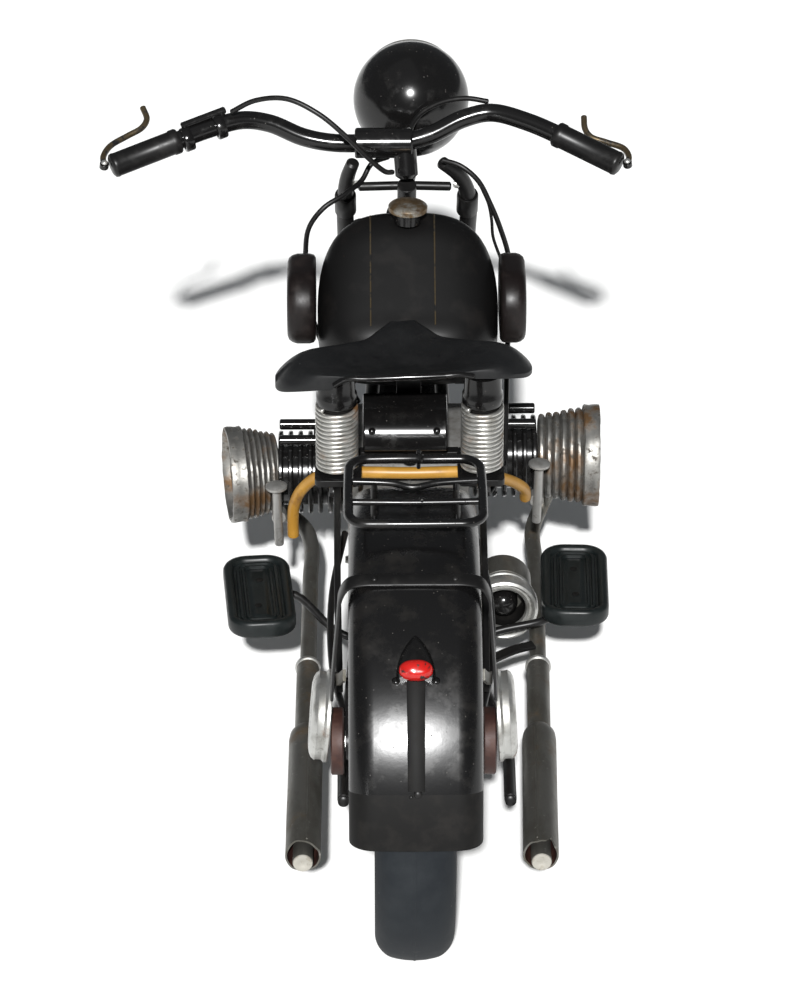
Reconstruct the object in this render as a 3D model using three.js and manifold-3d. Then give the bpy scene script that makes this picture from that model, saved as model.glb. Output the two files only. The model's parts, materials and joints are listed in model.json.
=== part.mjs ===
// Tin model of an old flat-twin motorcycle, in millimetres.
// +X is the rider's right, +Y is forward, +Z is up. The origin is on the ground, under the middle of the
// centre stand's foot bar. It is hand-made: the handlebar sits off-centre in its clamp, the left cylinder and
// its carburettor stand further back than the right ones, and the right exhaust runs further out.
import * as THREE from "three";
import { mergeVertices } from "three/addons/utils/BufferGeometryUtils.js";
import Module from "manifold-3d";

const wasm = await Module();
wasm.setup();

// ---------- driving dimensions ----------
const GAP = 0.3; // between pieces that touch
const WHEEL_R = 49; // rear wheel
const FRONT_R = 39; // front wheel, small enough to stay hidden behind the tank from the rear
const TYRE_DEPTH = 11.5; // from the tread to the rim
const TYRE_HALF = 8.8;
const REAR_Y = -89; // rear axle
const AXLE_Z = WHEEL_R;
const FRONT_Z = FRONT_R;
const AXLE_R = 1.3;
const HUB_HALF = 10;

const RAKE = THREE.MathUtils.degToRad(29);
const STEER_TOP = new THREE.Vector3(0, 58, 120); // a point on the steering axis
const STEER_UP = new THREE.Vector3(0, -Math.sin(RAKE), Math.cos(RAKE));
const STEER_FWD = new THREE.Vector3(0, Math.cos(RAKE), Math.sin(RAKE));
const AXLE_TRAIL = 3; // front axle ahead of the steering axis
const AXLE_DOWN = (STEER_TOP.z + AXLE_TRAIL * STEER_FWD.z - FRONT_Z) / STEER_UP.z;
const LEG_X = 15.5;
const LEG_FWD = 5;
const LEG_R = 2.3;
const STEM_R = 2.4;
const HEAD_TOP = 16.4; // distances down the steering axis
const HEAD_END = 27.2;

const BAR_R = 2.4;
const GRIP_R = 3.2;
const BAR_MID_X = -10;
const BAR_POINTS = [
  [-72, 51.4, 126.2], [-60, 56, 129.2], [-50, 60, 131.6], [-41, 63, 132.9],
  [-34, 63.6, 131.7], [-26, 62.6, 128.5], [-19, 62, 127.2], [BAR_MID_X, 62, 127],
  [-1, 62, 127.3], [6, 62.6, 129], [14, 64, 132.6], [21, 64.6, 134],
  [30, 61.6, 132.8], [40, 57, 130], [51.5, 51, 126.4],
];

const MOUTH_ANGLE = THREE.MathUtils.degToRad(125); // how far round the headlamp's ball its mouth lies
const LAMP = { x: 1.3, y: 86, z: 128.4, r: 14.7 };
const FENDER_R = WHEEL_R + 8; // outer radius of the rear mudguard
const FENDER_HALF = 14.2;
const FRONT_FENDER_R = FRONT_R + 3;
const FRONT_FENDER_HALF = 10;
const SHEET = 0.8; // tinplate thickness

const CYL_Z = 51;
const CYL_Y = { left: 30, right: 38 };
const CASE = { x: 15, y0: 12, y1: 45.5, z0: 28, z1: 66 };
const HEAD_X0 = 32.6; // where barrel meets head
const HEAD_X1 = { left: 45.6, right: 48.6 };
const HEAD_R = { left: 12.2, right: 13 };

const SPRING = { x: 17.4, y: -6, z0: 72.4, z1: 90.4, r: 5.2, wire: 1.05 };
const EXHAUST_R = 2.7;
const TAIL_R = 2.3;
const SILENCER_R = 4;
const STAND_PIVOT = { y: -7, z: 22 };
const STAND_PIN_R = 1.3;

// ---------- small tools ----------
const v3 = (x, y, z) => new THREE.Vector3(x, y, z);

// A closed three.js geometry as a manifold-3d solid, faces turned outwards.
function solid(geometry) {
  const plain = geometry.index ? geometry.toNonIndexed() : geometry.clone();
  const bare = new THREE.BufferGeometry().setAttribute("position", plain.getAttribute("position"));
  const merged = mergeVertices(bare, 1e-4);
  const vertProperties = merged.attributes.position.array;
  const make = (triVerts) => new wasm.Manifold(new wasm.Mesh({ numProp: 3, vertProperties, triVerts }));
  const tri = new Uint32Array(merged.index.array);
  const made = make(tri);
  if (made.volume() >= 0) return made;
  for (let i = 0; i < tri.length; i += 3) [tri[i + 1], tri[i + 2]] = [tri[i + 2], tri[i + 1]];
  return make(tri);
}

// A manifold-3d solid as a three.js geometry.
function geometryOf(body) {
  const mesh = body.getMesh();
  const points = new Float32Array(mesh.numVert * 3);
  for (let i = 0; i < mesh.numVert; i++) {
    points.set(mesh.vertProperties.subarray(i * mesh.numProp, i * mesh.numProp + 3), i * 3);
  }
  const geometry = new THREE.BufferGeometry();
  geometry.setAttribute("position", new THREE.BufferAttribute(points, 3));
  geometry.setIndex(new THREE.BufferAttribute(new Uint32Array(mesh.triVerts), 1));
  return geometry;
}

const join = (...bodies) => bodies.reduce((a, b) => a.add(b));
const cut = (body, ...tools) => tools.reduce((a, b) => a.subtract(b), body);

// A straight round rod between two points.
function rod(from, to, radius, sides = 12, radiusTo = radius) {
  const axis = to.clone().sub(from);
  const geometry = new THREE.CylinderGeometry(radiusTo, radius, axis.length(), sides);
  const turn = new THREE.Quaternion().setFromUnitVectors(v3(0, 1, 0), axis.clone().normalize());
  geometry.applyQuaternion(turn);
  geometry.translate(...from.clone().add(to).multiplyScalar(0.5).toArray());
  return solid(geometry);
}

const rodX = (x0, x1, y, z, radius, sides = 20) => rod(v3(x0, y, z), v3(x1, y, z), radius, sides);
const rodY = (y0, y1, x, z, radius, sides = 20) => rod(v3(x, y0, z), v3(x, y1, z), radius, sides);
const rodZ = (z0, z1, x, y, radius, sides = 16) => rod(v3(x, y, z0), v3(x, y, z1), radius, sides);

// A round rod bent along a smooth line through the points.
function bentRod(points, radius, sides = 8, steps = 24) {
  const curve = new THREE.CatmullRomCurve3(points.map((p) => v3(...p)), false, "centripetal");
  const outline = [];
  for (let i = 0; i < sides; i++) {
    const a = (i / sides) * 2 * Math.PI;
    outline.push(new THREE.Vector2(radius * Math.cos(a), radius * Math.sin(a)));
  }
  const sweep = { steps, extrudePath: curve, bevelEnabled: false };
  return solid(new THREE.ExtrudeGeometry(new THREE.Shape(outline), sweep));
}

function block(x0, x1, y0, y1, z0, z1) {
  const geometry = new THREE.BoxGeometry(x1 - x0, y1 - y0, z1 - z0);
  geometry.translate((x0 + x1) / 2, (y0 + y1) / 2, (z0 + z1) / 2);
  return solid(geometry);
}

// A surface of revolution. profile is [radius, distance along the axis] pairs, from axis to axis or a ring.
function turned(profile, segments = 24) {
  return new THREE.LatheGeometry(profile.map(([r, h]) => new THREE.Vector2(r, h)), segments);
}
const ring = (profile) => [...profile, profile[0]];
const turnedX = (profile, y, z, segments) =>
  solid(turned(profile, segments).rotateZ(-Math.PI / 2).translate(0, y, z));
const turnedY = (profile, x, z, segments, y = 0) => solid(turned(profile, segments).translate(x, y, z));
const turnedZ = (profile, x, y, z, segments) =>
  solid(turned(profile, segments).rotateX(Math.PI / 2).translate(x, y, z));

// A rectangle with rounded corners, as an outline.
function roundedPlate(width, length, corner) {
  const shape = new THREE.Shape();
  const w = width / 2;
  const l = length / 2;
  shape.absarc(w - corner, l - corner, corner, 0, Math.PI / 2);
  shape.absarc(-w + corner, l - corner, corner, Math.PI / 2, Math.PI);
  shape.absarc(-w + corner, -l + corner, corner, Math.PI, 1.5 * Math.PI);
  shape.absarc(w - corner, -l + corner, corner, 1.5 * Math.PI, 2 * Math.PI);
  return shape;
}
const slab = (shape, depth, curveSegments = 5) =>
  new THREE.ExtrudeGeometry(shape, { depth, bevelEnabled: false, curveSegments });

// A closed skin over rings of the same number of points; outline is one ring laid flat, for the end caps.
function loft(rings, outline) {
  const n = outline.length;
  const caps = THREE.ShapeUtils.triangulateShape(outline, []);
  const points = rings.flat();
  const index = [];
  for (let k = 0; k < rings.length - 1; k++) {
    for (let i = 0; i < n; i++) {
      const a = k * n + i;
      const b = k * n + ((i + 1) % n);
      index.push(a, b, a + n, b, b + n, a + n);
    }
  }
  const last = (rings.length - 1) * n;
  const clockwise = THREE.ShapeUtils.isClockWise(outline);
  for (const [a, b, c] of caps) {
    const [near, far] = clockwise ? [[a, b, c], [a, c, b]] : [[a, c, b], [a, b, c]];
    index.push(...near, ...far.map((i) => last + i));
  }
  const geometry = new THREE.BufferGeometry().setFromPoints(points);
  geometry.setIndex(index);
  return solid(geometry);
}

const SQUARE = [[0, 0], [1, 0], [1, 1], [0, 1]].map(([a, b]) => new THREE.Vector2(a, b));

// ---------- materials ----------
const finish = (color, roughness, metalness) =>
  new THREE.MeshStandardMaterial({ color, roughness, metalness });
const BLACK_GLOSS = finish(0x0b0b0c, 0.25, 0.1);
const BLACK_SATIN = finish(0x1a1c1d, 0.5, 0.1);
const RUBBER = finish(0x33383b, 0.8, 0);
const DARK_RUBBER = finish(0x15181a, 0.55, 0);
const TIN = finish(0x8d8d88, 0.4, 0.9);
const ALUMINIUM = finish(0xa0a09a, 0.45, 0.9);
const STEEL = finish(0x6a6a64, 0.5, 0.85);
const BRASS = finish(0x7d6a46, 0.4, 0.9);
const BROWN = finish(0x2c1a16, 0.6, 0.3);
const HOSE = finish(0xa87420, 0.5, 0);
const RED = finish(0xc01414, 0.25, 0);
const GLASS = finish(0xd8dcd8, 0.1, 0);
const SPRING_STEEL = finish(0x9a9a96, 0.35, 0.95);

const motorcycle = new THREE.Group();
const chassis = new THREE.Group();
const steering = new THREE.Group();
motorcycle.add(chassis, steering);

function piece(group, name, body, material) {
  const mesh = new THREE.Mesh(body.isBufferGeometry ? body : geometryOf(body), material);
  mesh.name = name;
  group.add(mesh);
  return mesh;
}

const SIDES = [["left", -1], ["right", 1]];

// A point in the steering frame: x across, down the axis from its top, forward of the axis.
const fork = (x, down, fwd) =>
  STEER_TOP.clone().addScaledVector(STEER_UP, -down).addScaledVector(STEER_FWD, fwd).setX(x);
const forkList = (points) => points.map(([x, down, fwd]) => fork(x, down, fwd).toArray());
const FRONT_Y = fork(0, AXLE_DOWN, AXLE_TRAIL).y;

// ---------- wheels ----------
const SPOKES = 10;

function wheel(name, y, radius) {
  const group = new THREE.Group();
  group.position.set(0, y, radius);
  const w = TYRE_HALF;
  const rimR = radius - TYRE_DEPTH;
  const tyre = turnedX(ring([
    [rimR + GAP, -w * 0.62], [rimR + 5, -w], [radius - 1.8, -w * 0.7], [radius, -w * 0.3],
    [radius, w * 0.3], [radius - 1.8, w * 0.7], [rimR + 5, w], [rimR + GAP, w * 0.62],
  ]), 0, 0, 24);
  piece(group, name + "_tyre", tyre, RUBBER);

  const rim = turnedX(ring([[rimR - 3, -4.4], [rimR, -5.2], [rimR, 5.2], [rimR - 3, 4.4]]), 0, 0, 24);
  const hub = turnedX([
    [0, -HUB_HALF], [3, -HUB_HALF], [6, -6], [3.2, -4], [3.2, 4], [6, 6], [3, HUB_HALF], [0, HUB_HALF],
  ], 0, 0, 10);
  let spoked = join(rim, hub);
  for (let i = 0; i < SPOKES; i++) {
    const a = (i / SPOKES) * 2 * Math.PI;
    const side = i % 2 ? 1 : -1;
    const along = v3(0, Math.cos(a), Math.sin(a));
    const inner = along.clone().multiplyScalar(4.5).setX(side * 5.5);
    const outer = along.clone().multiplyScalar(rimR - 1.5).setX(side * 1.5);
    spoked = join(spoked, rod(inner, outer, 0.7, 3));
  }
  spoked = cut(spoked, rodX(-HUB_HALF - 1, HUB_HALF + 1, 0, 0, AXLE_R + GAP, 10));
  piece(group, name + "_rim", spoked, TIN);
  return group;
}
motorcycle.add(wheel("rear_wheel", REAR_Y, WHEEL_R), wheel("front_wheel", FRONT_Y, FRONT_R));

// ---------- mudguards ----------
// Half the channel section of a mudguard, mirrored to a full outline: [across, inwards from the outer radius].
function channel(half, flange, corner) {
  const inner = half - SHEET;
  const side = [
    [half - corner, 0], [half - corner * 0.3, corner * 0.3], [half, corner], [half, flange],
    [inner, flange], [inner, corner], [inner - corner * 0.25, corner * 0.3 + SHEET * 0.7],
    [inner - corner + SHEET, SHEET],
  ];
  return [...side, ...side.map(([a, b]) => [-a, b]).reverse()];
}
// A ring of the channel round an axle [y, z], on a radius and at an angle measured up from the rear.
function channelRing(section, [y, z], radius, angle, slide = 0) {
  const out = v3(0, -Math.cos(angle), Math.sin(angle));
  const down = v3(0, -Math.sin(angle), -Math.cos(angle));
  return section.map(([across, inwards]) =>
    v3(across, y, z).addScaledVector(out, radius - inwards).addScaledVector(down, slide));
}
const flat = (section) => section.map(([a, b]) => new THREE.Vector2(a, b));

const REAR_AXLE = [REAR_Y, AXLE_Z];
const FRONT_AXLE = [FRONT_Y, FRONT_Z];
const FENDER_FROM = THREE.MathUtils.degToRad(9.6);
const FENDER_TO = THREE.MathUtils.degToRad(168);
{
  const section = channel(FENDER_HALF, 11, 6);
  const rings = [];
  const steps = 13;
  for (let i = 0; i <= steps; i++) {
    const angle = FENDER_FROM + ((FENDER_TO - FENDER_FROM) * i) / steps;
    rings.push(channelRing(section, REAR_AXLE, FENDER_R, angle));
  }
  piece(chassis, "rear_mudguard", loft(rings, flat(section)), BLACK_GLOSS);
}
{
  const section = channel(FRONT_FENDER_HALF, 7, 5);
  const rings = [];
  const steps = 11;
  const from = THREE.MathUtils.degToRad(12);
  const to = THREE.MathUtils.degToRad(158);
  for (let i = 0; i <= steps; i++) {
    rings.push(channelRing(section, FRONT_AXLE, FRONT_FENDER_R, from + ((to - from) * i) / steps));
  }
  const lugs = SIDES.map(([, s]) => {
    const at = fork(0, 56.5, LEG_FWD);
    return rodX(s * (FRONT_FENDER_HALF - 0.6), s * (LEG_X - LEG_R - GAP), at.y, at.z, 1, 6);
  });
  piece(steering, "front_mudguard", join(loft(rings, flat(section)), ...lugs), BLACK_GLOSS);
}

// A point beside the rear wheel: across, at a radius from the axle, at an angle up from the rear.
const beside = (x, radius, angle, slide = 0) =>
  channelRing([[x, 0]], REAR_AXLE, radius, angle, slide)[0];

// The hoop over the rear mudguard that stays it to the axle.
{
  const angle = THREE.MathUtils.degToRad(70);
  const path = [[18.2, 17], [17.4, 33], [16.3, 48], [15.6, FENDER_R - 2.5], [11, FENDER_R + 0.9]];
  const inner = [...path.map(([x, r]) => [-x, r]), ...path.map(([x, r]) => [x, r]).reverse()];
  const half = 1.6;
  const thick = 0.7;
  const rings = inner.map(([x, r], i) => {
    const prev = inner[Math.max(i - 1, 0)];
    const next = inner[Math.min(i + 1, inner.length - 1)];
    const across = new THREE.Vector2(next[0] - prev[0], next[1] - prev[1]).normalize();
    const nx = -across.y;
    const nr = across.x;
    const at = (off, side) => beside(x + nx * off, r + nr * off, angle, side * half);
    return [at(0, -1), at(0, 1), at(thick, 1), at(thick, -1)];
  });
  piece(chassis, "mudguard_hoop", loft(rings, SQUARE), BLACK_SATIN);
}

// Tail lamp: a pointed black hood, a red lens and the strip that covers its wire.
{
  const lampAt = THREE.MathUtils.degToRad(52);
  const hood = (() => {
    const rings = [];
    const stations = [[-6.2, 0.6, 0.8], [-4.2, 2.2, 2], [-2.1, 3.3, 3.4], [0, 3.7, 4.3], [1.2, 3.7, 4.3]];
    for (const [slide, half, height] of stations) {
      rings.push([[-half, 0], [half, 0], [half * 0.8, height * 0.65], [0, height], [-half * 0.8, height * 0.65]]
        .map(([x, h]) => beside(x, FENDER_R + GAP + h, lampAt, slide)));
    }
    return loft(rings, flat([[0, 0], [2, 0], [1.6, 1], [1, 2], [0.4, 1]]));
  })();
  const lens = new THREE.SphereGeometry(1, 12, 8);
  lens.scale(3.5, 2, 2.4);
  lens.rotateX(lampAt - Math.PI / 2);
  const at = beside(0, FENDER_R + 3, lampAt, 4.4);
  piece(chassis, "tail_lamp_lens", solid(lens.translate(...at.toArray())), RED);
  const stripRings = [];
  for (let i = 0; i <= 6; i++) {
    const angle = THREE.MathUtils.degToRad(52 - (30 * i) / 6);
    stripRings.push([[-1.9, 0], [1.9, 0], [1.9, 0.7], [-1.9, 0.7]]
      .map(([x, h]) => beside(x, FENDER_R + GAP + h, angle)));
  }
  piece(chassis, "tail_lamp_hood", join(hood, loft(stripRings, SQUARE)), BLACK_GLOSS);
}

// ---------- rear axle and what sits on it ----------
piece(chassis, "rear_axle", rodX(-18, 18, REAR_Y, AXLE_Z, AXLE_R, 14), TIN);
for (const [side, s] of SIDES) {
  const hole = rodX(s * 10, s * 18.5, REAR_Y, AXLE_Z, AXLE_R + GAP, 14);
  const drum = rodX(s * 15.5, s * 18.8, REAR_Y, AXLE_Z, 7.6, 14);
  const cover = turnedX([
    [0, s * 18.6], [10.4, s * 18.6], [10.4, s * 19.4], [9.8, s * 19.8],
    [10, s * 21.6], [8.6, s * 23], [0, s * 23.3],
  ], REAR_Y + 3, AXLE_Z + 4, 20);
  piece(chassis, "hub_cover_" + side, cut(join(drum, cover), hole), TIN);

  const plate = new THREE.Shape();
  plate.absarc(REAR_Y, AXLE_Z, 4.4, Math.PI * 0.75, Math.PI * 1.9);
  plate.lineTo(REAR_Y + 13, AXLE_Z + 3.6);
  plate.lineTo(REAR_Y + 12, AXLE_Z + 9);
  const lug = slab(plate, 1.2, 8).rotateY(Math.PI / 2).rotateX(Math.PI / 2);
  lug.translate(s > 0 ? 14 : -15.2, 0, 0);
  const stay = rod(v3(s * 17.4, -8.6, 68.6), v3(s * 16.6, REAR_Y + 12.4, AXLE_Z + 6.2), 1.6, 8);
  const drumRoom = rodX(s * 15.3, s * 18, REAR_Y, AXLE_Z, 7.9, 20);
  piece(chassis, "rear_stay_" + side, cut(join(solid(lug), stay), hole, drumRoom), BLACK_SATIN);
}

// ---------- frame ----------
const TOP_TUBE = [[0, 66.4, 99.6], [0, 45, 88.6], [0, 30, 80], [0, 18, 72.6], [0, 8, 70.9], [0, 3, 70.9]];
const SEAT_Z = [70.2, 71.9]; // under and top of the plates that the saddle springs stand on
const TOP_TUBE_R = 2.2;
const DOWN_TUBE_R = 1.8;
const downTube = (s, radius) => bentRod([
  [s * 10, 49.4, 28], [s * 9.6, 49.6, 46], [s * 8.4, 52, 68], [s * 4.4, 64.6, 91.6], [s * 2.6, 68.4, 98.4],
], radius, 8, 9);
{
  const head = rod(fork(0, HEAD_TOP, 0), fork(0, HEAD_END, 0), 4.8, 16);
  const bore = rod(fork(0, HEAD_TOP - 2, 0), fork(0, HEAD_END + 4, 0), STEM_R + GAP, 14);
  const tubes = SIDES.map(([, s]) => downTube(s, DOWN_TUBE_R));
  const seats = SIDES.map(([, s]) => block(s * 17.2 - 5.6, s * 17.2 + 5.6, -11.5, 5.4, ...SEAT_Z));
  const crossbar = block(-12, 12, 2.6, 5.4, ...SEAT_Z);
  const saddlePost = block(-3, 3, 12.6, 14, 71, 92.6);
  const whole = join(head, bentRod(TOP_TUBE, TOP_TUBE_R, 8, 12), ...tubes, crossbar, ...seats, saddlePost);
  piece(chassis, "main_frame", cut(whole, bore), BLACK_SATIN);
}
const RAIL_END = { left: -15.8, right: 22 };
const BOARD = {
  left: { x: -37, y: -2.6, z: 34.5, yaw: 5 },
  right: { x: 41, y: 2, z: 34.5, yaw: -2 },
};
const BOARD_THICK = 3.6;
const ARM_Z = 34.5 - BOARD_THICK / 2 - GAP - 1; // arm's centre line under a board
const BOARD_ARM = {
  left: [[-42, 1.5, ARM_Z], [-35, 2.5, ARM_Z], [-28.3, 3, ARM_Z - 0.2], [-19.7, -4, 26.4],
    [-15.4, -6.2, 24.8], [-12.8, -6.4, 24.4]],
  right: [[46, -2, ARM_Z], [39, -3, ARM_Z], [33, -9.2, ARM_Z - 0.4], [22, -10.6, ARM_Z - 2.4],
    [15.6, -11.5, 26.8], [13.6, -11.5, 24.8]],
};
for (const [side, s] of SIDES) {
  const end = RAIL_END[side];
  const rail = [[s * 10.2, 47.6, 25.8], [s * 10.6, 46, 24.4], [s * 11.6, 38, 24.2], [s * 13, 0, 24.4],
    [(end + s * 13) / 2, -30, 25.4], [end, -60, 29.4], [end, -91.2, 34]];
  const arm = bentRod(BOARD_ARM[side], 1, 5, 7);
  piece(chassis, "lower_rail_" + side, join(bentRod(rail, 1.4, 6, 12), arm), BLACK_SATIN);
}

// ---------- centre stand ----------
const stand = new THREE.Group();
motorcycle.add(stand);
{
  const legTop = (s) => v3(s * 10.4, STAND_PIVOT.y, STAND_PIVOT.z);
  const foot = block(-13.5, 13.5, -1.5, 1.5, 0, 2);
  const legs = SIDES.map(([, s]) => rod(v3(s * 12.3, 0, 1.2), legTop(s), 1.3, 8));
  const pin = rodX(-11.4, 11.4, STAND_PIVOT.y, STAND_PIVOT.z, STAND_PIN_R, 12);
  piece(stand, "centre_stand", join(foot, ...legs, pin), BLACK_SATIN);
}

// ---------- engine ----------
{
  const side = new THREE.Shape();
  side.moveTo(CASE.y0, CASE.z0 + 3);
  side.lineTo(CASE.y0 + 4, CASE.z0);
  side.lineTo(CASE.y1 - 4, CASE.z0);
  side.lineTo(CASE.y1, CASE.z0 + 6);
  side.lineTo(CASE.y1, CASE.z1 - 9);
  side.lineTo(CASE.y1 - 7, CASE.z1);
  side.lineTo(CASE.y0 + 6, CASE.z1);
  side.lineTo(CASE.y0, CASE.z1 - 4);
  const body = solid(slab(side, 2 * CASE.x).rotateY(Math.PI / 2).rotateX(Math.PI / 2).translate(-CASE.x, 0, 0));
  const cover = rodY(44, 47.4, 0, 48, 8.2, 20);
  const sump = block(-9, 9, 16, 42, 24.6, CASE.z0 + 1);
  const tubes = SIDES.map(([, s]) => downTube(s, DOWN_TUBE_R + GAP));
  piece(chassis, "crankcase", cut(join(body, cover, sump), ...tubes), ALUMINIUM);
}
{
  const side = new THREE.Shape();
  side.moveTo(-13, 31);
  side.lineTo(11.7, 29.8);
  side.lineTo(11.7, 62);
  side.lineTo(8, 64.5);
  side.lineTo(-4, 62);
  side.lineTo(-13, 46);
  const box = solid(slab(side, 25).rotateY(Math.PI / 2).rotateX(Math.PI / 2).translate(-12.5, 0, 0));
  const lug = new THREE.Shape();
  lug.absarc(STAND_PIVOT.y, STAND_PIVOT.z, 3, Math.PI, 2 * Math.PI);
  lug.lineTo(STAND_PIVOT.y + 3, 32);
  lug.lineTo(STAND_PIVOT.y - 3, 32);
  const eye = solid(slab(lug, 2.4, 8).rotateY(Math.PI / 2).rotateX(Math.PI / 2).translate(-1.2, 0, 0));
  const hole = rodX(-5, 5, STAND_PIVOT.y, STAND_PIVOT.z, STAND_PIN_R + GAP, 16);
  piece(chassis, "gearbox", cut(join(box, eye), hole), ALUMINIUM);
}
// The round cup on the right of the gearbox, open to the rear, with a black hub in it.
{
  const cup = { x: 23.4, z: 31.4 };
  const body = turnedY(ring([
    [0.01, 10], [6.8, 10], [6.8, -1], [8.4, -1.4], [8.4, -5], [7.2, -5.6], [5.2, -4.6], [5.2, 3], [0.01, 3],
  ]), cup.x, cup.z, 16);
  const neck = rodX(12.8, cup.x, 6, cup.z + 1, 4.5, 14);
  const bore = turnedY([[0, 3], [5.2, 3], [5.2, -7], [0, -7]], cup.x, cup.z, 16);
  const hub = turnedY([[0, 4], [3.4, 4], [3.4, -2], [2.4, -3.6], [0, -4.2]], cup.x, cup.z, 12);
  piece(chassis, "coupling_cup", join(body, cut(neck, bore), hub), TIN);
}

// Cylinder barrels, heads, push-rod tubes and carburettors.
for (const [side, s] of SIDES) {
  const y = CYL_Y[side];
  const x0 = CASE.x + GAP;
  const barrel = [[0, s * x0]];
  const fins = 4;
  const pitch = (HEAD_X0 - x0) / fins;
  for (let i = 0; i < fins; i++) {
    const x = x0 + i * pitch;
    barrel.push([8.4, s * (x + pitch * 0.05)], [8.4, s * (x + pitch * 0.4)]);
    barrel.push([10.4, s * (x + pitch * 0.5)], [10.4, s * (x + pitch * 0.95)]);
  }
  barrel.push([0, s * HEAD_X0]);

  const start = HEAD_X0 + GAP;
  const coils = 4;
  const band = 3.6;
  const step = (HEAD_X1[side] - band - start) / coils;
  const outer = HEAD_R[side];
  const inner = outer - 2;
  const head = [[0, s * start]];
  for (let i = 0; i < coils; i++) {
    const r = inner + ((outer - inner) * i) / coils;
    head.push([r - 0.9, s * (start + i * step)], [r, s * (start + (i + 0.5) * step)]);
  }
  head.push([outer - 0.8, s * (HEAD_X1[side] - band)], [outer, s * (HEAD_X1[side] - band + 0.4)],
    [outer, s * (HEAD_X1[side] - 0.8)], [outer - 1.2, s * HEAD_X1[side]], [0, s * (HEAD_X1[side] - 0.9)]);
  piece(chassis, "cylinder_head_" + side, turnedX(head, y, CYL_Z, 14), TIN);

  const tubeZ = CYL_Z + 11.1;
  const tubes = [-3.6, 3.6].map((dy) => rodX(s * (CASE.x + GAP), s * (HEAD_X0 - 0.4), y + dy, tubeZ, 1.6, 6));
  const bridge = block(s * 22 - 2, s * 22 + 2, y - 3.6, y + 3.6, tubeZ - 0.8, tubeZ + 0.8);
  piece(chassis, "barrel_" + side, join(turnedX(barrel, y, CYL_Z, 12), ...tubes, bridge), BLACK_SATIN);

  const cx = s * 32.3;
  const cy = y - 14.6;
  const topZ = side === "left" ? 55 : 56.6;
  const nail = join(
    rodZ(38.5, topZ - 0.5, cx, cy, 1.15, 8),
    turnedZ([[0, 0], [1.2, 0], [2.7, 0.5], [2.7, 1], [1.2, 1.4], [0, 1.4]], cx, cy, topZ - 0.7, 12),
    rodY(cy, cy + 3.6, cx, 46, 1.9, 10),
  );
  piece(chassis, "carburettor_" + side, cut(nail, rodX(s * 20, s * 50, y, CYL_Z, 12.6, 20)), TIN);
}

// The hose that joins the carburettors, across the back of the gearbox.
const HOSE_PATH = [
  [-28.8, 15.8, 39.5], [-28.8, 15.2, 44], [-28.4, 13.6, 50], [-26.6, 11, 56], [-22.4, 7, 62.5],
  [-17.4, 2.6, 66.4], [-10, 0.4, 67.6], [0, 0, 67.6], [10, 0.4, 67.6], [17.4, 2.6, 66.4],
  [22, 8, 61.6], [26.4, 14.6, 56], [29, 19.6, 51], [29.4, 22.4, 46.8],
];
piece(chassis, "fuel_hose", bentRod(HOSE_PATH, 1.3, 6, 22), HOSE);

// ---------- exhausts ----------
const EXHAUST = {
  left: { x: -24.8, tailX: -24.9, headX: -37 },
  right: { x: 32.6, tailX: 28.6, headX: 39 },
};
const PIPE_Z = 24;
const TAIL_Z = 26.5;
for (const [side, s] of SIDES) {
  const e = EXHAUST[side];
  const y = CYL_Y[side];
  const pipe = bentRod([
    [e.headX, y + 8, 39], [e.headX, y + 14, 35.6], [(e.headX * 2 + e.x) / 3, y + 18, 30],
    [e.x + s * 2, y + 16, PIPE_Z + 1.5], [e.x, y + 9, PIPE_Z], [e.x, y - 8, PIPE_Z],
    [(e.x * 2 + e.tailX) / 3, -20, PIPE_Z + 0.7], [(e.x + e.tailX * 2) / 3, -60, PIPE_Z + 1.6],
    [e.tailX, -100, TAIL_Z], [e.tailX, -104.5, TAIL_Z + 0.1],
  ], TAIL_R, 8, 16);
  piece(chassis, "exhaust_pipe_" + side, pipe, STEEL);
  const shell = turned(ring([
    [TAIL_R + GAP, 0], [EXHAUST_R + 0.4, 0], [SILENCER_R, 3.4], [SILENCER_R, 51], [SILENCER_R - 0.6, 51],
    [SILENCER_R - 0.6, 3.8], [TAIL_R + GAP, 1.4],
  ]), 14);
  const from = v3((e.x + e.tailX * 2) / 3, -48, PIPE_Z + 1.35);
  const to = v3(e.tailX, -99, TAIL_Z - 0.1);
  const turn = new THREE.Quaternion().setFromUnitVectors(v3(0, 1, 0), to.clone().sub(from).normalize());
  shell.applyQuaternion(turn).translate(...from.toArray());
  piece(chassis, "silencer_" + side, cut(solid(shell), bentRod([
    [(e.x * 2 + e.tailX) / 3, -20, PIPE_Z + 0.7], [(e.x + e.tailX * 2) / 3, -60, PIPE_Z + 1.6],
    [e.tailX, -100, TAIL_Z], [e.tailX, -104.5, TAIL_Z + 0.1],
  ], TAIL_R + 0.2, 8, 8)), STEEL);
}

// ---------- footboards ----------
for (const [side] of SIDES) {
  const b = BOARD[side];
  const board = slab(roundedPlate(16.6, 34.4, 6), BOARD_THICK, 4);
  board.rotateZ(THREE.MathUtils.degToRad(b.yaw)).translate(b.x, b.y, b.z - BOARD_THICK / 2);
  piece(chassis, "footboard_" + side, board, DARK_RUBBER);
}

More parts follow.
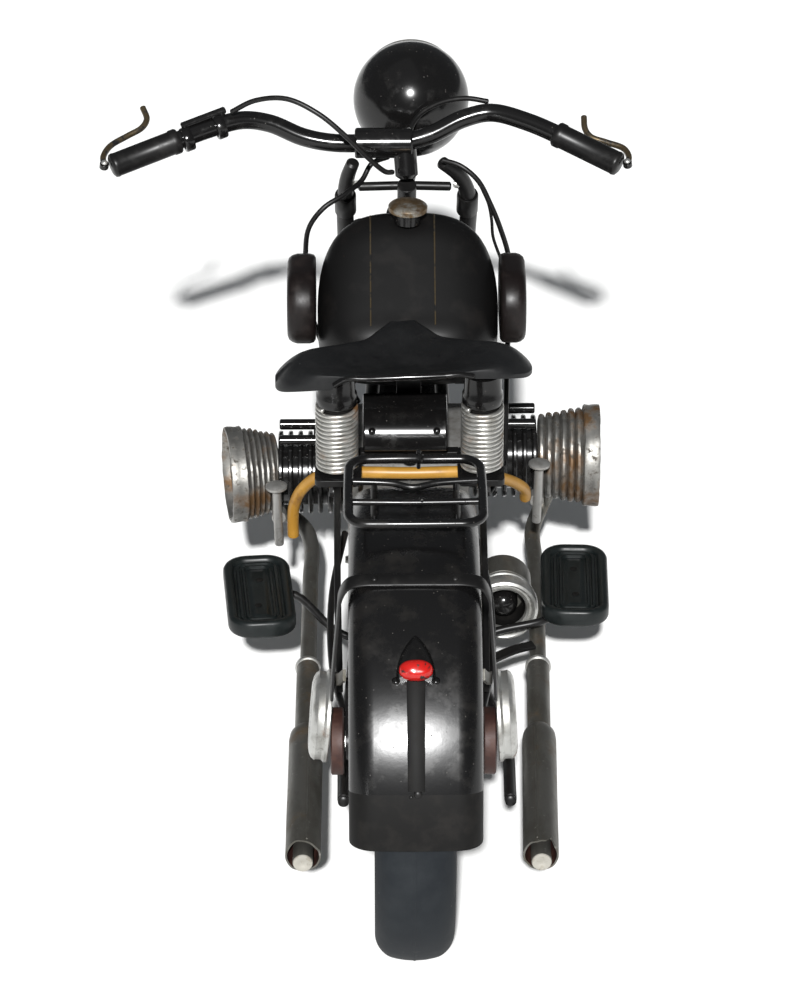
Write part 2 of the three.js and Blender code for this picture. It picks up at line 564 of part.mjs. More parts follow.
// ---------- tank ----------
// Stations from rear to front: [y, half width, top, bottom].
const TANK = [
  [19.4, 9, 92, 82], [21, 15, 95, 80.6], [25, 19.4, 98.6, 79.6], [30, 21.6, 103, 79], [36, 22.4, 108.2, 79.4],
  [42, 21.8, 113, 81], [47, 19.6, 114.6, 83.4], [51, 15.4, 112.6, 87], [54, 9.4, 108, 91.4],
  [55.4, 4.4, 103.6, 95.4],
];
{
  const count = 14;
  const rings = TANK.map(([y, half, top, bottom]) => {
    const mid = bottom + (top - bottom) * 0.42;
    const points = [];
    for (let i = 0; i < count; i++) {
      const a = ((i + 0.5) / count) * 2 * Math.PI;
      const power = Math.sin(a) > 0 ? 0.62 : 0.4;
      const cx = Math.sign(Math.cos(a)) * Math.abs(Math.cos(a)) ** power;
      const cz = Math.sign(Math.sin(a)) * Math.abs(Math.sin(a)) ** power;
      points.push(v3(half * cx, y, mid + (Math.sin(a) > 0 ? top - mid : mid - bottom) * cz));
    }
    return points;
  });
  const outline = rings[4].map((p) => new THREE.Vector2(p.x, p.z));
  const tunnel = join(...[-1.4, 1.4].map((dz) =>
    bentRod(TOP_TUBE.map(([x, y, z]) => [x, y, z + dz]), TOP_TUBE_R + 1.2, 8, 10)));
  const tank = cut(loft(rings, outline), tunnel, block(-4, 4, 10, 44, 70, 84));
  piece(chassis, "fuel_tank", tank, BLACK_GLOSS);
  const cap = turned([[0, 0], [3.4, 0], [3.4, 2.4], [4.7, 2.9], [4.7, 4.2], [3.6, 5], [0, 5.3]], 12);
  piece(chassis, "filler_cap", solid(cap.rotateX(Math.PI / 2).translate(0, 43.6, 114.5)), BRASS);
}
for (const [side, s] of SIDES) {
  const depth = side === "left" ? 5.3 : 4.6;
  const pad = new THREE.ExtrudeGeometry(roundedPlate(19, 25, 8.5), {
    depth, bevelThickness: 0.9, bevelSize: 1, bevelOffset: -1, bevelSegments: 1, curveSegments: 4,
  });
  pad.rotateY(Math.PI / 2).translate(s > 0 ? 23.7 : -23.7 - depth, 38.6, 95.6);
  piece(chassis, "knee_pad_" + side, pad, DARK_RUBBER);
}

// ---------- saddle ----------
const SEAT = { x: -1.4, tilt: 0.04, thick: 1.2 };
const SEAT_STATIONS = [ // [y, half width, heights at the middle, the shoulder and the edge]
  [-11.8, 17, 101, 100.8, 99.8], [-10.6, 24, 100.8, 100.9, 98.9], [-6, 29.6, 98.9, 100.6, 96.8],
  [0, 30.4, 97.3, 100.4, 96.2], [5.5, 26.6, 96.9, 99.6, 96.8], [9.5, 18, 97, 98.4, 96.9],
  [13.5, 10, 97.4, 97.6, 96.9], [18, 6, 98, 97.8, 97.3], [21.5, 3, 98.2, 98.1, 97.8],
];
{
  const rings = SEAT_STATIONS.map(([y, half, middle, shoulder, edge]) => {
    const between = (middle * 2 + shoulder) / 3;
    const heights = [edge, shoulder, between, middle, between, shoulder, edge];
    const top = [-1, -0.8, -0.4, 0, 0.4, 0.8, 1].map((t, i) =>
      v3(SEAT.x + half * t, y + (t * t - 0.5), heights[i] + SEAT.tilt * half * t));
    const bottom = top.map((p) => p.clone().setZ(p.z - SEAT.thick)).reverse();
    return [...top, ...bottom];
  });
  const outline = rings[4].map((p) => new THREE.Vector2(p.x, p.z));
  const plugs = SIDES.map(([, s]) =>
    rodZ(SPRING.z1 + GAP, 99.4 + s * 0.8, s * SPRING.x, SPRING.y, SPRING.r - 0.8, 10));
  piece(chassis, "saddle", join(loft(rings, outline), ...plugs), BLACK_SATIN);
}
for (const [side, s] of SIDES) {
  const { y, z0, z1, r, wire } = SPRING;
  const sleeve = ring([[r, z0], [r, z1], [r - 2 * wire, z1], [r - 2 * wire, z0]]);
  piece(chassis, "saddle_spring_" + side, turnedZ(sleeve, s * SPRING.x, y, 0, 12), SPRING_STEEL);
}

// ---------- tool box and luggage rack ----------
{
  const shape = new THREE.Shape();
  shape.moveTo(11.4, 75.2);
  shape.lineTo(11.4, 84);
  shape.lineTo(0.6, 84);
  shape.absarc(0.6, 79.4, 4.6, Math.PI / 2, Math.PI);
  shape.lineTo(-4, 76.4);
  shape.lineTo(-3, 75.2);
  const box = slab(shape, 20.4, 6).rotateY(Math.PI / 2).rotateX(Math.PI / 2).translate(-11.2, 0, 0);
  piece(chassis, "tool_box", box, BLACK_GLOSS);
}
const RACK = { x: 0.4, y0: -98, y1: -67.4, half: 15.6, z: 110, wire: 2.2, corner: 5.5 };
{
  const { x, y0, y1, half, z, wire, corner } = RACK;
  const loop = roundedPlate(2 * half, y1 - y0, corner);
  const within = roundedPlate(2 * (half - wire), y1 - y0 - 2 * wire, corner - wire);
  loop.holes.push(new THREE.Path(within.getPoints(3)));
  const hoop = solid(slab(loop, wire, 3).translate(x, (y0 + y1) / 2, z - wire / 2));
  const rows = [y1 - 10.5, y1 - 19.5];
  const crossWires = rows.map((y) => rodX(x - half + 1, x + half - 1, y, z, 0.8, 6));
  const legs = rows.flatMap((y) => [-9, 9].map((dx) => {
    const bottom = AXLE_Z + Math.sqrt(FENDER_R ** 2 - (y - REAR_Y) ** 2) + GAP + 0.1;
    return rodZ(bottom, z, x + dx, y, 0.8, 6);
  }));
  piece(chassis, "luggage_rack", join(hoop, ...crossWires, ...legs), BLACK_GLOSS);
}

// ---------- fork ----------
piece(steering, "front_axle", rodX(-19, 19, FRONT_Y, FRONT_Z, AXLE_R, 14), TIN);
const LEG_TOP_X = { left: -13.4, right: 9.4 };
for (const [side, s] of SIDES) {
  const x = s * LEG_X;
  const leg = bentRod(forkList([
    [LEG_TOP_X[side], 1.2, LEG_FWD], [(LEG_TOP_X[side] + x * 2) / 3, 7, LEG_FWD], [x, 15, LEG_FWD],
    [x, 40, LEG_FWD], [x, 68, LEG_FWD], [x, 79, LEG_FWD], [x, AXLE_DOWN - 1.5, AXLE_TRAIL - 0.4],
  ]), LEG_R, 6, 11);
  const lug = rodX(x - 2.2, x + 2.2, FRONT_Y, FRONT_Z, 3.5, 10);
  const hole = rodX(-24, 24, FRONT_Y, FRONT_Z, AXLE_R + GAP, 14);
  piece(steering, "fork_leg_" + side, cut(join(leg, lug), hole), BLACK_SATIN);
}
{
  const stem = rod(fork(0, 31.5, 0), fork(0, 3.9, 0), STEM_R, 12);
  const reach = LEG_X - LEG_R - GAP;
  const crossRod = rod(fork(-11.4, 9.6, 2.6), fork(11.4, 9.6, 2.6), 1.2, 8);
  const bracket = rod(fork(0, 9.6, 2), v3(LAMP.x, LAMP.y - 4, LAMP.z - LAMP.r - 0.6), 1.4, 8);
  const plate = new THREE.BoxGeometry(2 * reach, 9, 2.6).rotateX(RAKE);
  plate.translate(...fork(0, HEAD_END + GAP + 1.7, 2.4).toArray());
  piece(steering, "fork_yoke", join(stem, crossRod, bracket, solid(plate)), BLACK_SATIN);
}

// ---------- handlebar ----------
{
  const bar = bentRod(BAR_POINTS, BAR_R, 8, 26);
  const barHole = bentRod(BAR_POINTS, BAR_R + GAP, 8, 26);
  const sleeve = rodX(-13, 1.4, 62, 127, 3.8, 14);
  const socket = rod(fork(0, 1.4, 0), v3(-0.6, 61.6, 126.4), 3, 10);
  piece(steering, "bar_clamp", cut(join(sleeve, socket), barHole), BLACK_GLOSS);

  const grip = (a, b, beyond) => {
    const from = v3(...BAR_POINTS.at(a));
    const to = v3(...BAR_POINTS.at(b));
    const out = from.clone().sub(to).normalize();
    const inner = from.clone().addScaledVector(out, -17);
    return cut(rod(inner, from.clone().addScaledVector(out, beyond), GRIP_R, 12), barHole);
  };
  piece(steering, "grip_left", grip(0, 1, 1.2), BLACK_SATIN);
  piece(steering, "grip_right", grip(-1, -2, 1.2), BLACK_SATIN);

  // Dip switch: two small clamps on the left of the bar, joined by a strip that stands off it.
  const a = v3(-54.5, 58.3, 131.3);
  const b = v3(-46.5, 61.2, 133.3);
  const along = b.clone().sub(a).normalize();
  const about = (p, radius, sides, end = p) =>
    rod(p.clone().addScaledVector(along, -1), end.clone().addScaledVector(along, 1), radius, sides);
  const lift = v3(0, 1.6, 3.4);
  const strip = about(a.clone().add(lift), 1, 6, b.clone().add(lift));
  const posts = [a, b].map((p) => rod(p, p.clone().add(lift), 0.9, 6));
  piece(steering, "handlebar", join(bar, about(a, 3.4, 8), about(b, 3.4, 8), strip, ...posts), BLACK_GLOSS);
}

// Control levers: bent wires pinned at the ends of the bar.
const LEVER = {
  left: [[-74.8, 50.4, 126.2], [-75.2, 54, 127], [-73.6, 58.6, 128], [-69.4, 62.2, 129.2], [-66, 64.4, 130.4],
    [-64.8, 67.2, 131.6], [-66, 71, 133.4]],
  right: [[54.5, 49.8, 126.4], [55, 53, 127], [53.8, 56.4, 127.8], [49.4, 58.6, 128.6], [45.8, 60, 129.4],
    [44.4, 62.2, 130.6], [44.2, 66.4, 132.4]],
};
for (const [side] of SIDES) {
  const group = new THREE.Group();
  steering.add(group);
  piece(group, side === "left" ? "clutch_lever" : "brake_lever", bentRod(LEVER[side], 0.75, 5, 14), BRASS);
}

// ---------- headlamp ----------
{
  const { x, y, z, r } = LAMP;
  const wall = 0.9;
  const arcs = 7;
  const ballArc = (radius) => Array.from({ length: arcs + 1 }, (_, i) => {
    const a = (i / arcs) * MOUTH_ANGLE;
    return [radius * Math.sin(a), -radius * Math.cos(a)];
  });
  const shell = [...ballArc(r), ...ballArc(r - wall).reverse()];
  piece(steering, "headlamp_shell", turnedY(shell, x, z, 16, y), BLACK_GLOSS);
  const mouthY = -r * Math.cos(MOUTH_ANGLE) + GAP;
  const mouthR = r * Math.sin(MOUTH_ANGLE);
  const rim = [
    [mouthR - 2, mouthY], [mouthR, mouthY], [mouthR, mouthY + 1], [mouthR - 0.8, mouthY + 1.8],
    [mouthR - 2, mouthY + 1.4],
  ];
  const bowl = [[0, -5], [4.5, -4.4], [8, -0.4], [mouthR - 1.5, mouthY], [mouthR - 1.5, mouthY + 0.8],
    [7.4, 0.6], [4.2, -3.4], [0, -4]];
  const frontRing = join(turnedY(ring(rim), x, z, 16, y), turnedY(bowl, x, z, 16, y));
  piece(steering, "headlamp_rim", frontRing, TIN);
  const glass = [
    [0, mouthY + 1], [mouthR - 2.4, mouthY + 0.9], [mouthR - 2.4, mouthY + 1.6], [5, mouthY + 3],
    [0, mouthY + 3.4],
  ];
  piece(steering, "headlamp_lens", turnedY(glass, x, z, 16, y), GLASS);
}

// ---------- control cables ----------
const CABLE_R = 0.65;
const CABLES = {
  cable_bar_left: [[-44, 60.2, 136.4], [-38, 60, 139.6], [-30, 58, 141], [-22, 55.6, 138], [-15, 54, 132.4],
    [-9.6, 54, 126.6], [-5.4, 55, 122.4], [-3.4, 57.6, 121]],
  cable_bar_right: [[21, 67.4, 135.8], [15, 68.6, 136.2], [8, 69.4, 134.4], [3, 69.4, 131], [1, 69, 127.4],
    [0.6, 67.6, 123.6]],
  cable_left: [[-4, 66, 121.6], [-8.4, 66.6, 119.4], [-11, 64, 116], [-15.4, 59, 114.4], [-20.6, 56.4, 112],
    [-24.4, 55.4, 107], [-25.4, 55, 100], [-25, 54, 88], [-21, 50, 76], [-14.4, 41, 69], [-12, 37, 66.8]],
  cable_right: [[8.4, 60, 123.4], [13, 58.6, 122.4], [17.4, 57.4, 119], [20.6, 56.6, 113], [23.4, 56, 106],
    [25.6, 55.6, 98], [25.8, 53, 88], [25, 42, 78], [24.4, 30, 69], [23.6, 20, 61], [20, 12.6, 55], [13.4, 9.6, 52]],
};
for (const [name, points] of Object.entries(CABLES)) {
  const group = name.startsWith("cable_bar") ? steering : chassis;
  piece(group, name, bentRod(points, CABLE_R, 5, 2 * points.length), BLACK_SATIN);
}

export default motorcycle;
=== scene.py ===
"""Tin model of an old flat-twin motorcycle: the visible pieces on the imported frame, with finishes, light and camera."""

import json
import math

import bmesh
import bpy
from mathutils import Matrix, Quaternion, Vector, noise


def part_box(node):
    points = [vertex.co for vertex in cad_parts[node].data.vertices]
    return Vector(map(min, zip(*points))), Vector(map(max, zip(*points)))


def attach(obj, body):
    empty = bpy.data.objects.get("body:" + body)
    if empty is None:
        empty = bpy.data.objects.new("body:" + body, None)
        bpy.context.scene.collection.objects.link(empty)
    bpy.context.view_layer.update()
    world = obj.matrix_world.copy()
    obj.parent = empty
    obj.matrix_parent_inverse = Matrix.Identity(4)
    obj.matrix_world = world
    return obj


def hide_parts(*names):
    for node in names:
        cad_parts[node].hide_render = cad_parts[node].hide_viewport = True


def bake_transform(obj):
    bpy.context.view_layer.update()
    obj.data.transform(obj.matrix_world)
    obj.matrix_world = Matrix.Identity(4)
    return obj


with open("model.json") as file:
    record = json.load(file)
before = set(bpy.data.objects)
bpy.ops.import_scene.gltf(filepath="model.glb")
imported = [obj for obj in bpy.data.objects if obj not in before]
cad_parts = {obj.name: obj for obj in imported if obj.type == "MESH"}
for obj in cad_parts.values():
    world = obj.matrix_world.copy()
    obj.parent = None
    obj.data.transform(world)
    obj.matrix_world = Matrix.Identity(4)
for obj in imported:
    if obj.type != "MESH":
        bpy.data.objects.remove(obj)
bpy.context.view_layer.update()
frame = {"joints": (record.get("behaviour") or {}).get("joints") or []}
MM = 0.001
PI = math.pi


# ---------------------------------------------------------------- places, in millimetres
def box(node):
    lo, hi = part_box(node)
    return lo / MM, hi / MM


def fit(node, points, r):
    """Path points drawn in the part's frame, settled into the node's box with r to spare round them."""
    lo, hi = box(node)
    pts = [Vector(p) for p in points]
    out = [p.copy() for p in pts]
    for k in range(3):
        a = min(p[k] for p in pts)
        b = max(p[k] for p in pts)
        want_a, want_b = lo[k] + r, hi[k] - r
        wide = b - a > 4 * r and want_b > want_a
        for p, q in zip(pts, out):
            if wide:
                q[k] = want_a + (p[k] - a) * (want_b - want_a) / (b - a)
            else:
                q[k] = p[k] + (lo[k] + hi[k]) / 2 - (a + b) / 2
    return out


# ---------------------------------------------------------------- shapes: each gives (vertices, faces)
def smooth(points, per=6):
    """A centripetal Catmull-Rom line through the points."""
    pts = [Vector(p).to_3d() for p in points]
    if len(pts) < 3:
        return [pts[0].lerp(pts[-1], i / per) for i in range(per + 1)]
    ext = [pts[0] * 2 - pts[1]] + pts + [pts[-1] * 2 - pts[-2]]
    out = []
    for a, b, c, d in zip(ext, ext[1:], ext[2:], ext[3:]):
        ta = 0.0
        tb = ta + max((b - a).length, 1e-6) ** 0.5
        tc = tb + max((c - b).length, 1e-6) ** 0.5
        td = tc + max((d - c).length, 1e-6) ** 0.5
        for i in range(per):
            t = tb + (tc - tb) * i / per
            p = a * ((tb - t) / (tb - ta)) + b * ((t - ta) / (tb - ta))
            q = b * ((tc - t) / (tc - tb)) + c * ((t - tb) / (tc - tb))
            s = c * ((td - t) / (td - tc)) + d * ((t - tc) / (td - tc))
            u = p * ((tc - t) / (tc - ta)) + q * ((t - ta) / (tc - ta))
            v = q * ((td - t) / (td - tb)) + s * ((t - tb) / (td - tb))
            out.append(u * ((tc - t) / (tc - tb)) + v * ((t - tb) / (tc - tb)))
    return out + [pts[-1]]


def blend_row(rows, y):
    """The values at y from rows of (y, value, ...), along a smooth curve through the rows."""
    ys_ = [r[0] for r in rows]
    y = min(max(y, ys_[0]), ys_[-1])
    k = max(i for i in range(len(ys_) - 1) if ys_[i] <= y)
    a, b, c, d = rows[max(k - 1, 0)], rows[k], rows[k + 1], rows[min(k + 2, len(rows) - 1)]
    t = (y - b[0]) / (c[0] - b[0])
    out = []
    for j in range(1, len(b)):
        m0 = (c[j] - a[j]) / max(c[0] - a[0], 1e-6) * (c[0] - b[0])
        m1 = (d[j] - b[j]) / max(d[0] - b[0], 1e-6) * (c[0] - b[0])
        t2, t3 = t * t, t * t * t
        out.append(b[j] * (2 * t3 - 3 * t2 + 1) + m0 * (t3 - 2 * t2 + t) + c[j] * (-2 * t3 + 3 * t2) + m1 * (t3 - t2))
    return out


def loft(rings, cap=True, wrap=False, shut=True):
    """A skin over rings. shut joins each ring's last point to its first; wrap joins the last ring to the first."""
    n, m = len(rings[0]), len(rings)
    faces = []
    for k in range(m if wrap else m - 1):
        a, b = k * n, ((k + 1) % m) * n
        for i in range(n if shut else n - 1):
            j = (i + 1) % n
            faces.append((a + i, a + j, b + j, b + i))
    if cap and not wrap:
        faces += [tuple(reversed(range(n))), tuple(range((m - 1) * n, m * n))]
    return [Vector(v) for ring in rings for v in ring], faces


def tangent_frames(path):
    """A tangent and two normals at each point, turning no more than the path does."""
    n = len(path)
    tangents = [(path[min(i + 1, n - 1)] - path[max(i - 1, 0)]).normalized() for i in range(n)]
    first = tangents[0].orthogonal().normalized()
    frames = []
    for i, t in enumerate(tangents):
        if i:
            first = tangents[i - 1].rotation_difference(t) @ first
            first = (first - t * first.dot(t)).normalized()
        frames.append((t, first.copy(), t.cross(first)))
    return frames


def tube(points, r, sides=14, per=6, bend=True, square_ends=False, squash=1.0):
    """A round bar along a line. r is a radius, or a function of the share of the way along it."""
    path = smooth(points, per) if bend else [Vector(p) for p in points]
    reach = [0.0]
    for a, b in zip(path, path[1:]):
        reach.append(reach[-1] + (b - a).length)
    radius = r if callable(r) else (lambda t: r)
    frames = tangent_frames(path)
    rings = []
    for p, (t, u, v), s in zip(path, frames, reach):
        rad = radius(s / reach[-1])
        rings.append([p + u * (rad * math.cos(a)) + v * (rad * squash * math.sin(a))
                      for a in (2 * PI * i / sides for i in range(sides))])
    if not square_ends:
        for at, step in ((0, 1), (-1, -1)):
            p, (t, _, _), ring = path[at], frames[at], rings[at]
            rad = radius(0.0 if at == 0 else 1.0)
            tip = [p + (v - p) * 0.62 for v in ring]
            shoulder = [v + t * (step * 0.3 * rad) for v in ring]
            rings[at] = shoulder
            rings.insert(0 if at == 0 else len(rings), tip)
    return loft(rings)


def strip(points, section, up, per=6, bend=True, cap=True):
    """A section of (across, along up) pairs swept on a line; up is a vector or a function of the point."""
    path = smooth(points, per) if bend else [Vector(p) for p in points]
    rings = []
    n = len(path)
    for i, p in enumerate(path):
        t = (path[min(i + 1, n - 1)] - path[max(i - 1, 0)]).normalized()
        w = Vector(up(p) if callable(up) else up)
        w = (w - t * w.dot(t)).normalized()
        side = t.cross(w)
        rings.append([p + side * a + w * b for a, b in section])
    return loft(rings, cap=cap)


def bar_section(half, down, up=None):
    """The section of a flat bar for strip()."""
    up = down if up is None else up
    return [(-half, -down), (half, -down), (half, up), (-half, up)]


AXES = {"x": (Vector((1, 0, 0)), Vector((0, 1, 0)), Vector((0, 0, 1))),
        "y": (Vector((0, 1, 0)), Vector((0, 0, 1)), Vector((1, 0, 0))),
        "z": (Vector((0, 0, 1)), Vector((1, 0, 0)), Vector((0, 1, 0)))}


def lathe(profile, centre, axis="x", seg=48, ring=False):
    """A turned shape. profile is (radius, way along the axis), from axis to axis, or a closed ring.

    axis is a letter or a vector.
    """
    if isinstance(axis, str):
        along, u, v = AXES[axis]
    else:
        along = Vector(axis).normalized()
        u = along.orthogonal().normalized()
        v = along.cross(u)
    c = Vector(centre)
    rings = [[c + along * h + (u * math.cos(a) + v * math.sin(a)) * r for r, h in profile]
             for a in (2 * PI * i / seg for i in range(seg))]
    return loft(rings, wrap=True, shut=ring)


def rod(a, b, r, seg=20, edge=0.15):
    """A straight round bar with a small chamfer at each end."""
    a, b = Vector(a), Vector(b)
    n = (b - a).length
    e = min(edge, r * 0.5, n * 0.4)
    return lathe([(0, 0), (r - e, 0), (r, e), (r, n - e), (r - e, n), (0, n)], a, b - a, seg)


def plate(outline, a, b, frame_axes):
    """An outline of (u, v) pairs given thickness from a to b along the first of three axes."""
    along, u, v = frame_axes
    rings = [[along * h + u * p[0] + v * p[1] for p in outline] for h in (a, b)]
    return loft(rings)


def slab(outline, a, b, axis):
    return plate(outline, a, b, AXES[axis])


def round_rect(w, h, r, n=6, cx=0.0, cy=0.0):
    pts = []
    for k, (sx, sy) in enumerate(((1, 1), (-1, 1), (-1, -1), (1, -1))):
        for i in range(n + 1):
            a = (k + i / n) * PI / 2
            pts.append((cx + sx * (w / 2 - r) + r * math.cos(a), cy + sy * (h / 2 - r) + r * math.sin(a)))
    return pts


def ball(centre, radii, seg=28, rows=16, turn=None):
    c = Vector(centre)
    turn = turn or Quaternion()
    rings = []
    for i in range(seg):
        a = 2 * PI * i / seg
        ring = []
        for k in range(rows + 1):
            b = PI * k / rows
            p = Vector((math.sin(b) * math.cos(a) * radii[0], math.sin(b) * math.sin(a) * radii[1],
                        math.cos(b) * radii[2]))
            ring.append(c + turn @ p)
        rings.append(ring)
    return loft(rings, wrap=True, shut=False)


def dome(at, axis, r, h, seg=16):
    """A rivet's head."""
    prof = [(0, -0.3 * h),
            (r, -0.3 * h)] + [(r * math.cos(a), h * math.sin(a)) for a in (PI / 2 * i / 5 for i in range(6))]
    return lathe(prof, at, Vector(axis), seg)


def hex_bolt(at, axis, r, h):
    """A hexagon head with a domed top, and a little washer under it."""
    washer = lathe([(0, 0), (r * 1.25, 0), (r * 1.25, h * 0.22), (0, h * 0.22)], at, Vector(axis), 20)
    head = lathe([(0, h * 0.2), (r * 1.05, h * 0.2), (r * 1.05, h * 0.85), (r * 0.8, h), (0, h)], at, Vector(axis), 6)
    return [washer, head]


# ---------------------------------------------------------------- finishes
def finish(name, color, rough, metal=0.0, layers=(), bump=None, specks=None, **more):
    """A procedural finish. layers are patches laid over the base by noise; specks is (size, share, colour) of dust."""
    mat = bpy.data.materials.new(name)
    mat.use_nodes = True
    nt = mat.node_tree
    bsdf = nt.nodes["Principled BSDF"]
    bsdf.inputs["Base Color"].default_value = (*color, 1)
    bsdf.inputs["Roughness"].default_value = rough
    bsdf.inputs["Metallic"].default_value = metal
    for key, value in more.items():
        bsdf.inputs[key.replace("_", " ")].default_value = value
    if not layers and not specks and not bump:
        return mat
    coords = nt.nodes.new("ShaderNodeTexCoord").outputs["Object"]
    parts = nt.nodes.new("ShaderNodeSeparateXYZ")
    nt.links.new(coords, parts.inputs[0])

    def noise_node(scale, detail=5.0, seed=0.0, stretch=None):
        vec = coords
        if stretch or seed:
            m = nt.nodes.new("ShaderNodeMapping")
            m.inputs["Scale"].default_value = stretch or (1, 1, 1)
            m.inputs["Location"].default_value = (seed, seed * 0.7, -seed)
            nt.links.new(coords, m.inputs["Vector"])
            vec = m.outputs["Vector"]
        tex = nt.nodes.new("ShaderNodeTexNoise")
        tex.inputs["Scale"].default_value = scale
        tex.inputs["Detail"].default_value = detail
        tex.inputs["Roughness"].default_value = 0.62
        nt.links.new(vec, tex.inputs["Vector"])
        return tex.outputs["Fac"]

    def ramp(value, low, high):
        m = nt.nodes.new("ShaderNodeMapRange")
        m.inputs["From Min"].default_value = low
        m.inputs["From Max"].default_value = high
        nt.links.new(value, m.inputs["Value"])
        return m.outputs["Result"]

    def times(a, b):
        m = nt.nodes.new("ShaderNodeMath")
        m.operation = "MULTIPLY"
        nt.links.new(a, m.inputs[0])
        nt.links.new(b, m.inputs[1])
        return m.outputs[0]

    def mix(kind, mask, old, new):
        m = nt.nodes.new("ShaderNodeMix")
        m.data_type = kind
        live = {s.name: s for s in m.inputs if s.enabled}
        nt.links.new(mask, live["Factor"])
        for s, v in ((live["A"], old), (live["B"], new)):
            if isinstance(v, bpy.types.NodeSocket):
                nt.links.new(v, s)
            else:
                s.default_value = v
        return [s for s in m.outputs if s.enabled][0]

    now = {"Base Color": (*color, 1), "Roughness": rough, "Metallic": metal}
    changed = set()

    def lay(mask, what):
        for key, kind in (("Base Color", "RGBA"), ("Roughness", "FLOAT"), ("Metallic", "FLOAT")):
            short = {"Base Color": "color", "Roughness": "rough", "Metallic": "metal"}[key]
            if short in what:
                value = (*what[short], 1) if short == "color" else what[short]
                now[key] = mix(kind, mask, now[key], value)
                changed.add(key)

    for k, layer in enumerate(layers):
        mask = ramp(noise_node(layer["scale"], layer.get("detail", 5.0), 0.013 * (k + 1), layer.get("stretch")),
                    layer["low"], layer["high"])
        for axis, low, high in layer.get("where", ()):
            mask = times(mask, ramp(parts.outputs["XYZ".index(axis)], low * MM, high * MM))
        lay(mask, layer)
    if specks:
        size, share, tint = specks
        v = nt.nodes.new("ShaderNodeTexVoronoi")
        v.inputs["Scale"].default_value = 1 / size
        nt.links.new(coords, v.inputs["Vector"])
        pick = nt.nodes.new("ShaderNodeSeparateColor")
        nt.links.new(v.outputs["Color"], pick.inputs[0])
        mask = times(ramp(v.outputs["Distance"], 0.2, 0.1), ramp(pick.outputs[0], 1 - share, 1 - share * 0.8))
        lay(mask, {"color": tint, "rough": 0.8, "metal": 0.0})
    for key in changed:
        nt.links.new(now[key], bsdf.inputs[key])
    if bump:
        scale, strength, depth = bump[:3]
        b = nt.nodes.new("ShaderNodeBump")
        b.inputs["Strength"].default_value = strength
        b.inputs["Distance"].default_value = depth * MM
        nt.links.new(noise_node(scale, 4.0, 0.07, bump[3] if len(bump) > 3 else None), b.inputs["Height"])
        nt.links.new(b.outputs["Normal"], bsdf.inputs["Normal"])
    return mat


def patch(scale, low, high, **what):
    return {"scale": scale, "low": low, "high": high, **what}


